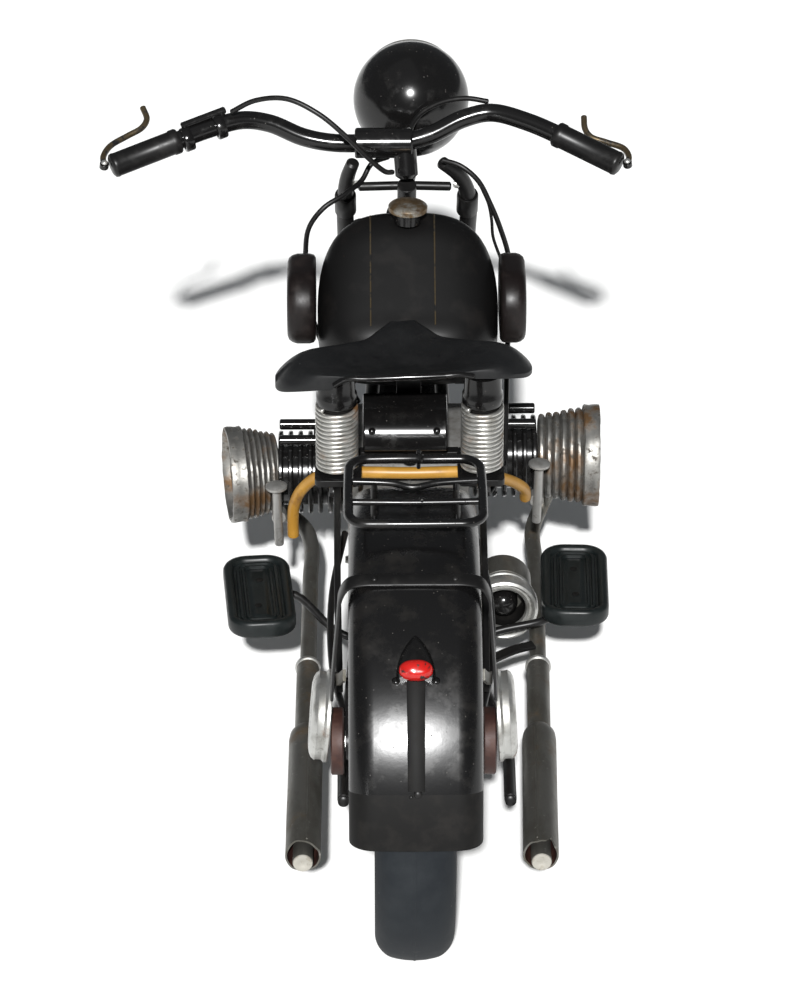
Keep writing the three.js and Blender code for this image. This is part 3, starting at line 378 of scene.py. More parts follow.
BLACK = (0.0042, 0.0040, 0.0040)
DUSTY = patch(260, 0.52, 0.78, color=(0.0085, 0.008, 0.0075), rough=0.42)
RUST = (0.105, 0.047, 0.018)
GRIME = (0.035, 0.028, 0.020)
FINISHES = {
    "black_enamel": dict(
        color=BLACK, rough=0.17, Specular_IOR_Level=0.4,
        layers=(DUSTY,),
        bump=(420, 0.12, 0.05), specks=(0.0009, 0.10, (0.05, 0.045, 0.04)),
    ),
    "fender_black": dict(
        color=(0.0036, 0.0035, 0.0036), rough=0.25, Specular_IOR_Level=0.36,
        layers=(patch(170, 0.5, 0.74, color=(0.010, 0.009, 0.008), rough=0.40),
                patch(620, 0.6, 0.72, rough=0.24)),
        bump=(560, 0.22, 0.06), specks=(0.0008, 0.08, (0.05, 0.045, 0.04)),
    ),
    "tank_black": dict(
        color=(0.0028, 0.0027, 0.0027), rough=0.40, Specular_IOR_Level=0.2,
        layers=(patch(120, 0.52, 0.8, color=(0.006, 0.005, 0.0045), rough=0.5),
                patch(900, 0.73, 0.78, color=(0.06, 0.035, 0.018), rough=0.6)),
        bump=(300, 0.1, 0.08),
    ),
    "satin_black": dict(
        color=(0.0050, 0.0048, 0.0048), rough=0.36, Specular_IOR_Level=0.25,
        layers=(patch(300, 0.5, 0.75, color=(0.009, 0.0085, 0.008), rough=0.52),),
        bump=(700, 0.2, 0.04),
    ),
    "dull_black": dict(
        color=(0.0050, 0.0048, 0.0046), rough=0.58, Specular_IOR_Level=0.12,
        layers=(patch(240, 0.48, 0.75, color=(0.012, 0.011, 0.010), rough=0.7),),
        bump=(900, 0.25, 0.04),
    ),
    "seat_black": dict(
        color=(0.0065, 0.0068, 0.0072), rough=0.42, Specular_IOR_Level=0.28,
        layers=(patch(150, 0.45, 0.8, color=(0.012, 0.012, 0.0122), rough=0.55),
                patch(520, 0.58, 0.7, color=(0.005, 0.005, 0.006), rough=0.3)),
        bump=(480, 0.3, 0.1),
    ),
    "tyre_rubber": dict(
        color=(0.0085, 0.0105, 0.013), rough=0.66, Specular_IOR_Level=0.14,
        layers=(patch(130, 0.42, 0.72, color=(0.016, 0.0185, 0.021), rough=0.8),
                patch(480, 0.62, 0.75, color=(0.0075, 0.009, 0.0105), rough=0.55)),
        bump=(1500, 0.25, 0.04), specks=(0.0013, 0.05, (0.05, 0.05, 0.05)),
    ),
    "black_rubber": dict(
        color=(0.0045, 0.0062, 0.0062), rough=0.36, Specular_IOR_Level=0.3,
        layers=(patch(220, 0.45, 0.75, color=(0.0085, 0.0112, 0.0112), rough=0.55),),
        bump=(1100, 0.3, 0.05),
    ),
    "pad_rubber": dict(
        color=(0.0050, 0.0034, 0.0032), rough=0.38, Specular_IOR_Level=0.25,
        layers=(patch(200, 0.48, 0.75, color=(0.014, 0.010, 0.009), rough=0.6),),
        bump=(800, 0.25, 0.06),
    ),
    "tinplate": dict(
        color=(0.50, 0.50, 0.48), rough=0.36, metal=0.88,
        layers=(patch(230, 0.46, 0.68, color=(0.27, 0.265, 0.245), rough=0.52),
                patch(420, 0.60, 0.74, color=GRIME, rough=0.7, metal=0.3),
                patch(150, 0.63, 0.74, color=RUST, rough=0.75, metal=0.2)),
        bump=(900, 0.3, 0.06),
    ),
    "head_tin": dict(
        color=(0.25, 0.245, 0.23), rough=0.38, metal=0.85,
        layers=(patch(260, 0.44, 0.66, color=(0.15, 0.145, 0.135), rough=0.5),
                patch(95, 0.49, 0.62, color=(0.10, 0.055, 0.023), rough=0.6, metal=0.45),
                patch(520, 0.54, 0.66, color=GRIME, rough=0.75, metal=0.2)),
        bump=(700, 0.4, 0.1),
    ),
    "cast_alloy": dict(
        color=(0.36, 0.355, 0.34), rough=0.48, metal=0.8,
        layers=(patch(180, 0.46, 0.7, color=(0.17, 0.16, 0.145), rough=0.6),
                patch(330, 0.57, 0.72, color=GRIME, rough=0.75, metal=0.25)),
        bump=(1000, 0.5, 0.08),
    ),
    "exhaust_steel": dict(
        color=(0.135, 0.132, 0.12), rough=0.44, metal=0.78,
        layers=(patch(150, 0.42, 0.7, color=(0.075, 0.07, 0.056), rough=0.55, stretch=(1, 0.35, 1)),
                patch(90, 0.56, 0.72, color=(0.085, 0.055, 0.028), rough=0.65, metal=0.4),
                patch(640, 0.64, 0.74, color=(0.24, 0.235, 0.22), rough=0.38)),
        bump=(900, 0.35, 0.06),
    ),
    "bare_end": dict(
        color=(0.36, 0.345, 0.305), rough=0.55, metal=0.5,
        layers=(patch(500, 0.5, 0.7, color=(0.19, 0.165, 0.125), rough=0.7),),
        bump=(1600, 0.6, 0.08),
    ),
    "aged_brass": dict(
        color=(0.17, 0.115, 0.062), rough=0.36, metal=0.85,
        layers=(patch(260, 0.5, 0.64, color=(0.30, 0.29, 0.26), rough=0.45),
                patch(330, 0.55, 0.72, color=(0.045, 0.028, 0.015), rough=0.6, metal=0.5)),
        bump=(800, 0.5, 0.1),
    ),
    "lever_brass": dict(
        color=(0.10, 0.075, 0.042), rough=0.4, metal=0.8,
        layers=(patch(420, 0.45, 0.6, color=(0.008, 0.008, 0.008), rough=0.3, metal=0.0),),
        bump=(1200, 0.4, 0.05),
    ),
    "hose_rubber": dict(
        color=(0.30, 0.15, 0.018), rough=0.42,
        layers=(patch(210, 0.48, 0.72, color=(0.38, 0.20, 0.03), rough=0.5),
                patch(160, 0.60, 0.76, color=(0.10, 0.04, 0.012), rough=0.6)),
        bump=(700, 0.25, 0.06),
    ),
    "red_enamel": dict(
        color=(0.36, 0.008, 0.006), rough=0.2,
        layers=(patch(260, 0.5, 0.7, color=(0.20, 0.006, 0.005), rough=0.32),
                patch(620, 0.605, 0.635, color=(0.012, 0.006, 0.005), rough=0.5)),
        bump=(380, 0.35, 0.12),
    ),
    "clear_glass": dict(
        color=(0.86, 0.88, 0.86), rough=0.06, Transmission_Weight=0.55,
        layers=(patch(200, 0.45, 0.7, rough=0.14),),
    ),
    "spring_wire": dict(
        color=(0.50, 0.495, 0.47), rough=0.34, metal=0.9,
        layers=(patch(300, 0.46, 0.68, color=(0.26, 0.25, 0.225), rough=0.48),
                patch(110, 0.52, 0.68, color=(0.14, 0.07, 0.026), rough=0.65, metal=0.35)),
        bump=(1200, 0.3, 0.04),
    ),
    "rust_brown": dict(
        color=(0.030, 0.010, 0.007), rough=0.55, metal=0.25,
        layers=(patch(300, 0.48, 0.7, color=(0.055, 0.022, 0.014), rough=0.7),
                patch(180, 0.55, 0.75, color=(0.010, 0.006, 0.005), rough=0.6)),
        bump=(900, 0.5, 0.1),
    ),
}
MATS = {name: finish(name, **spec) for name, spec in FINISHES.items()}


def make(name, parts, finish_names, body="chassis", replaces=(), bevel=0.0, subdiv=0, sharp=38, blend=None):
    """One named piece from shapes in millimetres.

    A shape may carry a third item: its faces' finish, one index or a list.
    """
    if isinstance(finish_names, str):
        finish_names = [finish_names]
    bm = bmesh.new()
    for part in parts:
        verts, faces = part[0], part[1]
        index = part[2] if len(part) > 2 else 0
        made = [bm.verts.new(Vector(v) * MM) for v in verts]
        for k, face in enumerate(faces):
            f = bm.faces.new([made[i] for i in face])
            f.material_index = index[k] if isinstance(index, (list, tuple)) else index
            f.smooth = True
        bmesh.ops.remove_doubles(bm, verts=made, dist=2e-7)
    bmesh.ops.dissolve_degenerate(bm, edges=bm.edges, dist=1e-7)
    bmesh.ops.recalc_face_normals(bm, faces=bm.faces)
    limit = math.radians(sharp)
    for e in bm.edges:
        e.smooth = len(e.link_faces) != 2 or e.calc_face_angle(0.0) < limit
    mesh = bpy.data.meshes.new(name)
    bm.to_mesh(mesh)
    bm.free()
    for key in finish_names:
        mesh.materials.append(MATS[key])
    o = bpy.data.objects.new(name, mesh)
    bpy.context.scene.collection.objects.link(o)
    if subdiv:
        m = o.modifiers.new("fine", "SUBSURF")
        m.levels = m.render_levels = subdiv
    if bevel:
        m = o.modifiers.new("edges", "BEVEL")
        m.width = bevel * MM
        m.segments = 2
        m.limit_method = "ANGLE"
        m.angle_limit = math.radians(40)
        m.harden_normals = True
    if blend:
        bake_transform(o)
    else:
        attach(o, body)
    if replaces:
        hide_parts(*([replaces] if isinstance(replaces, str) else replaces))
    return o


SIDES = (("left", -1), ("right", 1))


# ---------------------------------------------------------------- wheels
def wheel(body, name, tyre_node, rim_node):
    lo, hi = box(tyre_node)
    c = (lo + hi) / 2
    R = (hi.z - lo.z) / 2
    w = (hi.x - lo.x) / 2
    bead = R - 11.2
    right = [(bead, w * 0.6), (bead + 2.2, w * 0.86), (R - 6.6, w), (R - 3.6, w * 0.94), (R - 1.2, w * 0.7),
             (R - 0.25, w * 0.34), (R, 0.35)]
    curve = [(p.x, p.y) for p in smooth([(r, h, 0) for r, h in right], 5)]
    side_line = [(r + (0.16 if 0 < k < 3 else 0), h + (0.14 if abs(r - (bead + 3.4)) < 0.5 else 0))
                 for k, (r, h) in enumerate(curve)]
    profile = side_line + [(R + 0.13, 0.0)] + [(r, -h) for r, h in reversed(side_line)]
    make(name + "_tyre_rubber", [lathe(profile, c, "x", 128, ring=True)], "tyre_rubber", body, tyre_node)

    rim_lo, rim_hi = box(rim_node)
    half = (rim_hi.x - rim_lo.x) / 2
    edge = bead - 0.3
    rim = lathe([(edge - 3, -3.2), (edge - 2.2, -4.2), (edge - 0.3, -4.6), (edge + 0.2, -5.4), (edge - 0.6, -5.9),
                 (edge - 1.2, -5.2), (edge - 1.4, -4.9), (edge - 3.2, -4.4), (edge - 3.8, -3), (edge - 3.8, 3),
                 (edge - 3.2, 4.4), (edge - 1.4, 4.9), (edge - 1.2, 5.2), (edge - 0.6, 5.9), (edge + 0.2, 5.4),
                 (edge - 0.3, 4.6), (edge - 2.2, 4.2), (edge - 3, 3.2)], c, "x", 96, ring=True)
    hub = lathe([(1.7, -half), (3, -half), (3.2, -half + 0.8), (2.7, -7.6), (3.6, -7), (6, -6.4), (6.2, -5.7),
                 (5.8, -5.2),
                 (3.6, -4), (3.2, 0), (3.6, 4), (5.8, 5.2), (6.2, 5.7), (6, 6.4), (3.6, 7), (2.7, 7.6),
                 (3.2, half - 0.8),
                 (3, half), (1.7, half)], c, "x", 40, ring=True)
    spokes = []
    count = 28
    for i in range(count):
        a = 2 * PI * i / count
        s = 1 if i % 2 else -1
        lean = 0.55 if (i // 2) % 2 else -0.55
        inner = c + Vector((s * 5.7, 4.9 * math.cos(a + lean), 4.9 * math.sin(a + lean)))
        outer = c + Vector((s * 1.4, (edge - 3.2) * math.cos(a), (edge - 3.2) * math.sin(a)))
        spokes.append(tube([inner, outer], 0.36, 6, 1, bend=False, square_ends=True))
        nip = outer + (inner - outer).normalized() * 2.2
        spokes.append(tube([outer, nip], 0.62, 8, 1, bend=False, square_ends=True))
    make(name + "_rim_and_spokes", [rim, hub, *spokes], "tinplate", body, rim_node)
    stem = c + Vector((0, 0.5, -(edge - 3.6)))
    make(name + "_valve",
         [rod(stem, stem + Vector((0, 0, 4.2)), 0.75, 12),
          rod(stem + Vector((0, 0, 3.2)), stem + Vector((0, 0, 5.2)), 1.0, 12)],
         "aged_brass", body)
    return c


rear = wheel("rear_wheel", "rear", "rear_wheel_tyre", "rear_wheel_rim")
front = wheel("front_wheel", "front", "front_wheel_tyre", "front_wheel_rim")


# ---------------------------------------------------------------- mudguards
def about(c, radius, angle, x=0.0):
    """A point round a wheel's axle; the angle in degrees is up from the rear."""
    a = math.radians(angle)
    return Vector((x, c.y - radius * math.cos(a), c.z + radius * math.sin(a)))


def guard_section(half, flange, corner, sheet, crown=0.0):
    outer = [(half, flange), (half, (flange + corner) / 2)]
    outer += [(half - corner + corner * math.cos(t),
               corner - corner * math.sin(t)) for t in (PI / 2 * i / 7 for i in range(8))]
    outer += [((half - corner) * k, -crown * (1 - k * k)) for k in (0.5, 0.0)]
    outer += [(-x, d) for x, d in reversed(outer[:-1])]
    inner = []
    n = len(outer)
    for i, (x, d) in enumerate(outer):
        px, pd = outer[max(i - 1, 0)]
        qx, qd = outer[min(i + 1, n - 1)]
        t = Vector((qx - px, qd - pd)).normalized()
        inner.append((x + t.y * sheet, d - t.x * sheet))
    return outer, inner


def guard(name, node, c, radius, half, flange, corner, sheet, a0, a1, finishes, dull_to=None, ridge=None,
          body="chassis"):
    outer, inner = guard_section(half, flange, corner, sheet, 0.25)
    rings, angles = [], []
    steps = 88
    for k in range(steps + 1):
        a = a0 + (a1 - a0) * k / steps
        lift = 0.5 * math.exp(-(((a - ridge) / 0.9) ** 2)) if ridge else 0.0
        wob = 0.12 * noise.noise(Vector((a * 0.05, half, 0.3)))
        ring = []
        for x, d in outer:
            flat = max(0.0, 1 - abs(x) / (half - corner)) ** 0.25 if abs(x) < half - corner else 0.0
            ring.append(about(c, radius - d + lift * flat + wob, a, x))
        for x, d in reversed(inner):
            ring.append(about(c, radius - d + wob, a, x))
        rings.append(ring)
        angles.append(a)
    verts, faces = loft(rings)
    m = len(rings[0])
    index = []
    for k in range(steps):
        index += [1 if dull_to and angles[k] < dull_to else 0] * m
    index += [1 if dull_to else 0, 0]
    make(name, [(verts, faces, index)], finishes, body, node, bevel=0.12)


FENDER_LO, FENDER_HI = box("rear_mudguard")
FENDER_HALF = (FENDER_HI.x - FENDER_LO.x) / 2
FENDER_R = FENDER_HI.z - rear.z
guard("rear_mudguard_shell", "rear_mudguard", rear, FENDER_R, FENDER_HALF, 11, 5.4, 0.8, 9.6, 168,
      ["fender_black", "dull_black"], dull_to=21.6, ridge=80)
F_HI = box("front_mudguard")[1]
guard("front_mudguard_shell", "front_mudguard", front, F_HI.z - front.z, 10, 7, 4.6, 0.8, 12, 158, ["fender_black"],
      body="fork")


def fender_point(x, angle, lift=0.0):
    return about(rear, FENDER_R + lift, angle, x)


# The strap over the rear mudguard.
HOOP_AT = 70
hoop_line = [(-18.2, 17), (-17.7, 27), (-17, 38), (-16.4, 47), (-15.9, FENDER_R - 4.2), (-14.2, FENDER_R - 0.4),
             (-11.2, FENDER_R + 0.75), (-5.5, FENDER_R + 0.95), (0, FENDER_R + 1)]
hoop_line += [(-x, r) for x, r in reversed(hoop_line[:-1])]
hoop_path = [about(rear, r, HOOP_AT, x) for x, r in hoop_line]
strap = [(-1.65, -0.3), (-1.5, -0.45), (1.5, -0.45), (1.65, -0.3), (1.65, 0.12), (1.4, 0.3), (-1.4, 0.3), (-1.65, 0.12)]


def from_axle(p):
    """Away from the axle's line within the hoop's own plane, for the strap's flat side."""
    x = p.x
    out = about(Vector(), 1, HOOP_AT)
    if abs(x) > 15.2:
        return Vector((math.copysign(1, x), 0, 0))
    k = max(0.0, (abs(x) - 10.5) / 4.7)
    return (out * math.cos(k * PI / 2) + Vector((math.copysign(1, x), 0, 0)) * math.sin(k * PI / 2)).normalized()


make("mudguard_strap", [strip(hoop_path, strap, from_axle, 5)], "satin_black", replaces="mudguard_hoop")
rivets = []
for x in (-8.6, 8.6):
    rivets.append(dome(about(rear, FENDER_R + 1.3, HOOP_AT, x), about(Vector(), 1, HOOP_AT), 0.75, 0.45))
make("mudguard_strap_rivets", rivets, "satin_black")

# Tail lamp: hood, lens, and the flat strip that covers its wire.
LENS_LO, LENS_HI = box("tail_lamp_lens")
LENS = (LENS_LO + LENS_HI) / 2
LAMP_ANGLE = math.degrees(math.atan2(LENS.z - rear.z, rear.y - LENS.y))
LAMP_OUT = about(Vector(), 1, LAMP_ANGLE)
LENS_HALF = (LENS_HI.x - LENS_LO.x) / 2


def on_fender(x, slide, height):
    """A point on the mudguard: across, down from the lens's middle along the curve, and out."""
    return about(rear, FENDER_R + height, LAMP_ANGLE - math.degrees(slide / FENDER_R), x)


hood_rings = []
for slide, half, high in ((-8.6, 0.2, 0.25), (-8.0, 0.8, 0.9), (-6.4, 2.0, 2.0), (-4.4, 3.1, 3.3), (-2.3, 3.8, 4.3),
                          (-0.4, 4.15, 4.9), (0.8, 4.2, 5.1), (1.4, 4.15, 5.0)):
    hood_rings.append([on_fender(half * math.cos(a), slide, 0.05 + high * math.sin(a) ** 0.85)
                       for a in (PI * i / 16 for i in range(17))])
hood = loft(hood_rings)
feet = [ball(on_fender(s * 4.2, 1.4, 0.45), (0.9, 1.1, 0.6), 12, 8) for s in (-1, 1)]
make("tail_lamp_cowl", [hood, *feet], "black_enamel", replaces="tail_lamp_hood", bevel=0.08)
turn = Vector((0, 0, 1)).rotation_difference(LAMP_OUT)

def boxy(p, radii, power=0.86):
    """A unit ball's point pushed out towards a rounded box."""
    return Vector([math.copysign(abs(v) ** power, v) * r for v, r in zip(p, radii)])


lens = ball((0, 0, 0), (1, 1, 1), 48, 32)
lens = ([LENS + turn @ boxy(p, (LENS_HALF * 1.02, 2.2, 2.2)) for p in lens[0]], lens[1])
lens = ([p + LAMP_OUT * 0.18 * noise.noise(p * 0.45) for p in lens[0]], lens[1])
make("tail_lamp_glass", [lens], "red_enamel", replaces="tail_lamp_lens")
strip_rings = []
END = 23.0
for i in range(25):
    angle = LAMP_ANGLE - 1.0 + (END - LAMP_ANGLE + 1.0) * i / 24
    w = 1.95 - 0.15 * i / 24 + 0.05 * noise.noise(Vector((i * 0.4, 1, 2)))
    h = 0.62
    strip_rings.append([fender_point(x, angle, z) for x,
                        z in ((-w, 0.05), (-w, h - 0.15), (-w + 0.2, h), (w - 0.2, h), (w, h - 0.15), (w, 0.05))])
make("tail_lamp_wire_strip", [loft(strip_rings)], "dull_black")
make("tail_lamp_wire_strip_rivet", [dome(fender_point(0.3, END - 0.6, 0.3), about(Vector(), 1, END), 0.9, 0.5),
                                    dome(fender_point(-1.1, END - 1.3, 0.1), about(Vector(), 1, END), 0.5, 0.4)],
     "satin_black")

# ---------------------------------------------------------------- rear axle, hub covers, stays
AX_LO, AX_HI = box("rear_axle")
AX_R = (AX_HI.z - AX_LO.z) / 2


def axle_nut(x, axle):
    return lathe([(AX_R, 0), (2.3, 0), (2.3, 1.3), (2.0, 1.5), (AX_R, 1.5)], (x, axle.y, axle.z), "x", 6, ring=True)


axle_parts = [rod((AX_LO.x, rear.y, rear.z), (AX_HI.x, rear.y, rear.z), AX_R, 24)]
for side, s in SIDES:
    axle_parts.append(axle_nut(s * 15.3 if s < 0 else 13.8, rear))
make("rear_axle_pin", axle_parts, "tinplate", replaces="rear_axle")
TILT = {"left": 5, "right": 3.5}
for side, s in SIDES:
    at = Vector((s * 18.7, rear.y + 3, rear.z + 4.8))
    prof = [(0, 0.2), (8.2, 0.2), (8.6, 0), (10.2, 0), (10.5, 0.25), (10.5, 0.9), (10.1, 1.25), (9.9, 1.5), (9.95, 2.6),
            (10.05, 3.0), (9.5, 3.7), (8.6, 4.15), (7.4, 4.4), (6.4, 4.3), (5.8, 3.9), (3.4, 3.8), (3.1, 4.3), (0, 4.4)]
    axis = Vector((s * math.cos(math.radians(TILT[side])), 0, math.sin(math.radians(TILT[side]))))
    make("hub_cover_disc_" + side, [lathe(prof, at, axis, 72)], "tinplate", replaces="hub_cover_" + side)
    brown = [lathe([(AX_R + 0.2, 0), (7.2, 0), (7.6, 0.3), (7.6, 2.6), (7.2, 2.9), (AX_R + 0.2, 2.9)],
                   (s * 15.6 if s > 0 else -18.5, rear.y, rear.z), "x", 48, ring=True)]
    make("brake_plate_" + side, brown, "rust_brown")
    stay_a = Vector((s * 17.4, -8.6, 68.6))
    stay_b = Vector((s * 16.6, rear.y + 12.4, rear.z + 6.2))
    line = [stay_a, stay_a.lerp(stay_b, 0.5) + Vector((s * 0.2, 0, 0.3)), stay_b]
    flat = [(-0.8, -1.6), (0.5, -1.6), (0.8, -1.3), (0.8, 1.3), (0.5, 1.6), (-0.8, 1.6)]
    bar = strip(line, flat, (0, 0.14, 1), 8)
    eye = [(rear.y + 4.2 * math.cos(math.radians(a)), rear.z + 4.2 * math.sin(math.radians(a))) for a in range(120, 331,
                                                                                                               15)]
    eye += [(rear.y + 13.4, rear.z + 3.4), (rear.y + 12.4, rear.z + 9)]
    x0 = s * 14.6
    end_plate = plate(eye, x0 - 0.6, x0 + 0.6, AXES["x"])
    chain_stay = tube([(s * 15.6, -12, 58), (s * 18.6, -34, 54), (s * 18.4, -60, 50.5), (s * 15.6, -79, 49.5)], 0.85,
                      10, 6)
    bracket = strip([(s * 17.4, rear.y + 6, rear.z + 13), (s * 16.6, rear.y - 1, rear.z + 17),
                     (s * 15.3, rear.y - 7, rear.z + 22)],
                    bar_section(0.35, 1.3), (0, 0.7, 0.7), 5)
    make("rear_stay_bar_" + side, [bar, end_plate, chain_stay], "satin_black", replaces="rear_stay_" + side, bevel=0.1)
    make("mudguard_bracket_" + side, [bracket], "exhaust_steel")
    nuts = hex_bolt(Vector((s * 18.2, -10.4, 68.4)), (s, 0, 0), 1.2, 1.2)
    make("rear_stay_bolt_" + side, nuts, "satin_black")

# ---------------------------------------------------------------- frame
RAKE = math.radians(29)
STEER_UP = Vector((0, -math.sin(RAKE), math.cos(RAKE)))
STEER_FWD = Vector((0, math.cos(RAKE), math.sin(RAKE)))
steering = next(j for j in frame["joints"] if j["name"] == "steering")
STEER_TOP = Vector(steering["pos_m"]) / MM


def fork_at(x, down, fwd=0.0):
    p = STEER_TOP - STEER_UP * down + STEER_FWD * fwd
    return Vector((x, p.y, p.z))


def down_tube(s):
    return [(s * 10, 49.4, 28), (s * 9.6, 49.6, 46), (s * 8.4, 52, 68), (s * 4.4, 64.6, 91.6), (s * 2.6, 68.4, 98.4)]


head = lathe([(2.75, 0), (4.4, 0), (5.2, 0.4), (5.2, 1.6), (4.5, 2.1), (4.5, 8.7), (5.2, 9.2), (5.2, 10.4), (4.4, 10.8),
              (2.75, 10.8)],
             fork_at(0, 27.2), STEER_UP, 40, ring=True)
top_tube = tube([(0, 66.4, 99.6), (0, 45, 88.6), (0, 30, 80), (0, 18, 72.6), (0, 8, 70.9), (0, 3, 70.9)], 2.2, 16)
crossbar = slab([(-12, 2.6), (12, 2.6), (12, 5.4), (-12, 5.4)], 70.25, 71.85, "z")
seat_plates = [slab(round_rect(11.2, 16.9, 1.6, 5, s * 17.2, -3.05), 70.2, 71.9, "z") for s in (-1, 1)]
post = strip([(0, 13.3, 71), (0, 13.3, 92.6)], bar_section(3, 0.7), (0, 1, 0), 1)
make("main_frame_tubes",
     [head, top_tube, *(tube(down_tube(s), 1.8, 14) for s in (-1, 1)), crossbar, *seat_plates, post],
     "satin_black", replaces="main_frame", bevel=0.15)
SPRING_X, SPRING_Y = 17.4, -6
seats = []
for s in (-1, 1):
    c = Vector((s * SPRING_X, SPRING_Y, 71.95))
    seats.append(lathe([(0, 0), (5.0, 0), (5.0, 0.25), (0, 0.25)], c, "z", 28))
make("spring_seats", seats, "satin_black")

BOARD_THICK = 3.6
BOARD_ARM = {
    "left": [(-42, 1.5, 31.4), (-35, 2.5, 31.4), (-28.3, 3, 31.2), (-19.7, -4, 26.4), (-15.4, -6.2, 24.8),
             (-12.8, -6.4, 24.4)],
    "right": [(46, -2, 31.4), (39, -3, 31.4), (33, -9.2, 31), (22, -10.6, 29), (15.6, -11.5, 26.8),
              (13.6, -11.5, 24.8)],
}
for side, s in SIDES:
    lo, hi = box("footboard_" + side)
    b = (lo + hi) / 2
    yaw = math.radians(5 if side == "left" else -2)
    rail_lo, rail_hi = box("lower_rail_" + side)
    end = {"left": -15.8, "right": 22}[side]
    rail = tube([(s * 10.2, 47.6, 25.8), (s * 10.6, 46, 24.4), (s * 11.6, 38, 24.2), (s * 13, 0, 24.4),
                 ((end + s * 13) / 2, -30, 25.4), (end, -60, 29.4), (end, -90.8, 34)], 1.4, 14)
    arm = tube(BOARD_ARM[side], 1.0, 12)
    make("lower_rail_tube_" + side, [rail, arm], "satin_black", replaces="lower_rail_" + side)
    make("lower_rail_end_" + side,
         [lathe([(0, 0), (1.3, 0), (1.3, 0.5), (0.9, 0.8), (0, 0.8)], (end, -91.0, 34.05), (0, -1, 0.15), 18)],
         "satin_black")

    # The footboard: concentric rings from the rim to the middle, each at its own height.
    half_w, half_l = 8.3, 17.2
    levels = [(0.0, -3.0), (0.0, -0.9), (0.35, -0.25), (1.0, 0.0), (1.9, 0.0), (2.4, -0.35), (2.6, -1.15), (3.1, -1.25),
              (3.3, -0.55),
              (3.9, -0.5), (4.1, -1.2), (4.5, -1.25), (4.7, -0.6), (5.2, -0.55), (5.4, -1.25), (6.0, -1.3), (6.3, -1.0),
              (7.4, -1.0)]
    rings = []
    n_corner = 9

    def outline(inset):
        r = max(6 - inset, 1.6 if inset < 6 else 0.5)
        return round_rect(2 * (half_w - inset), 2 * (half_l - inset), min(r, half_w - inset - 0.01), n_corner)

    bottom = [(0.7, -3.6), (0.15, -3.45)]
    for inset, z in bottom + levels:
        ring = []
        for x, y in outline(inset):
            lip = 0.9 * max(0.0, (-y - 11.5) / 5.7) if inset < 2.2 and z > -2 else 0.0
            p = Vector((x, y, z + BOARD_THICK / 2 + lip))
            p.rotate(Quaternion((0, 0, 1), yaw))
            ring.append(b + p)
        rings.append(ring)
    make("footboard_rubber_" + side, [loft(rings)], "black_rubber", replaces="footboard_" + side, sharp=60)
    bolts = []
    for dy in (-6, 6):
        bolts += hex_bolt(b + Vector((0, dy, 0.55)), (0, 0, 1), 0.9, 0.5)
    make("footboard_bolt_" + side, bolts, "dull_black")

# ---------------------------------------------------------------- engine
case = [(12, 31), (16, 28), (41.5, 28), (45.5, 34), (45.5, 57), (38.5, 66), (18, 66), (12, 62)]
case_body = slab(case, -15, 15, "x")
sump = strip([(0, 16.2, 26.4), (0, 41.8, 26.4)], bar_section(9, 1.8, 2.2), (0, 0, 1), 1)
sump_fins = [strip([(0, y, 26.0), (0, y + 1.1, 26.0)], bar_section(9.6, 1.5, 2.0), (0, 0, 1), 1)
             for y in (18, 22, 26, 30, 34, 38)]
make("crankcase_casting", [case_body, sump, *sump_fins], "cast_alloy", replaces="crankcase", bevel=0.8)
cover = lathe([(0, 0), (8.2, 0), (8.2, 1.4), (7.7, 1.9), (6.6, 2.0), (6.2, 1.7), (4.6, 1.7), (4.3, 2.1), (1.8, 2.4),
               (0, 2.4)],
              (0, 45.4, 48), "y", 56)
make("engine_front_cover", [cover], "cast_alloy")
cover_bolts = []
for k in range(6):
    a = PI / 6 + k * PI / 3
    cover_bolts += hex_bolt(Vector((7.0 * math.cos(a), 47.2, 48 + 7.0 * math.sin(a))), (0, 1, 0), 0.5, 0.55)
for s in (-1, 1):
    for y, z in ((17, 33), (17, 60), (41, 36)):
        cover_bolts += hex_bolt(Vector((s * 15, y, z)), (s, 0, 0), 0.9, 0.9)
make("engine_bolts", cover_bolts, "tinplate")

gear = [(-13, 31), (11.7, 29.8), (11.7, 62), (8, 64.5), (-4, 62), (-13, 46)]
gear_body = slab(gear, -12.5, 12.5, "x")
eye = [(-7 + 3 * math.cos(a), 22 + 3 * math.sin(a)) for a in (PI + PI * i / 12 for i in range(13))] + [(-4, 32),
                                                                                                       (-10, 32)]
lug = slab(eye, -1.2, 1.2, "x")
ribs = [strip([(x, -12.6, 46.2), (x, -4, 62), (x, 6, 64)], bar_section(0.5, 0.4, 0.6), (0, -0.5, 0.8), 1, bend=False)
        for x in (-7, 0, 7)]
make("gearbox_casting", [gear_body, lug, *ribs], "cast_alloy", replaces="gearbox", bevel=0.7)
gear_bits = []
for s in (-1, 1):
    gear_bits.append(lathe([(0, 0), (7.2, 0), (7.2, 0.7), (6.6, 1.2), (3.2, 1.5), (2.8, 2.2), (0, 2.4)],
                           (s * 12.4, 0, 42), (s, 0, 0), 48))
    for k in range(5):
        a = 0.4 + k * 2 * PI / 5
        gear_bits += hex_bolt(Vector((s * 13.4, 5.9 * math.cos(a), 42 + 5.9 * math.sin(a))), (s, 0, 0), 0.55, 0.6)
make("gearbox_side_covers", gear_bits, "cast_alloy")

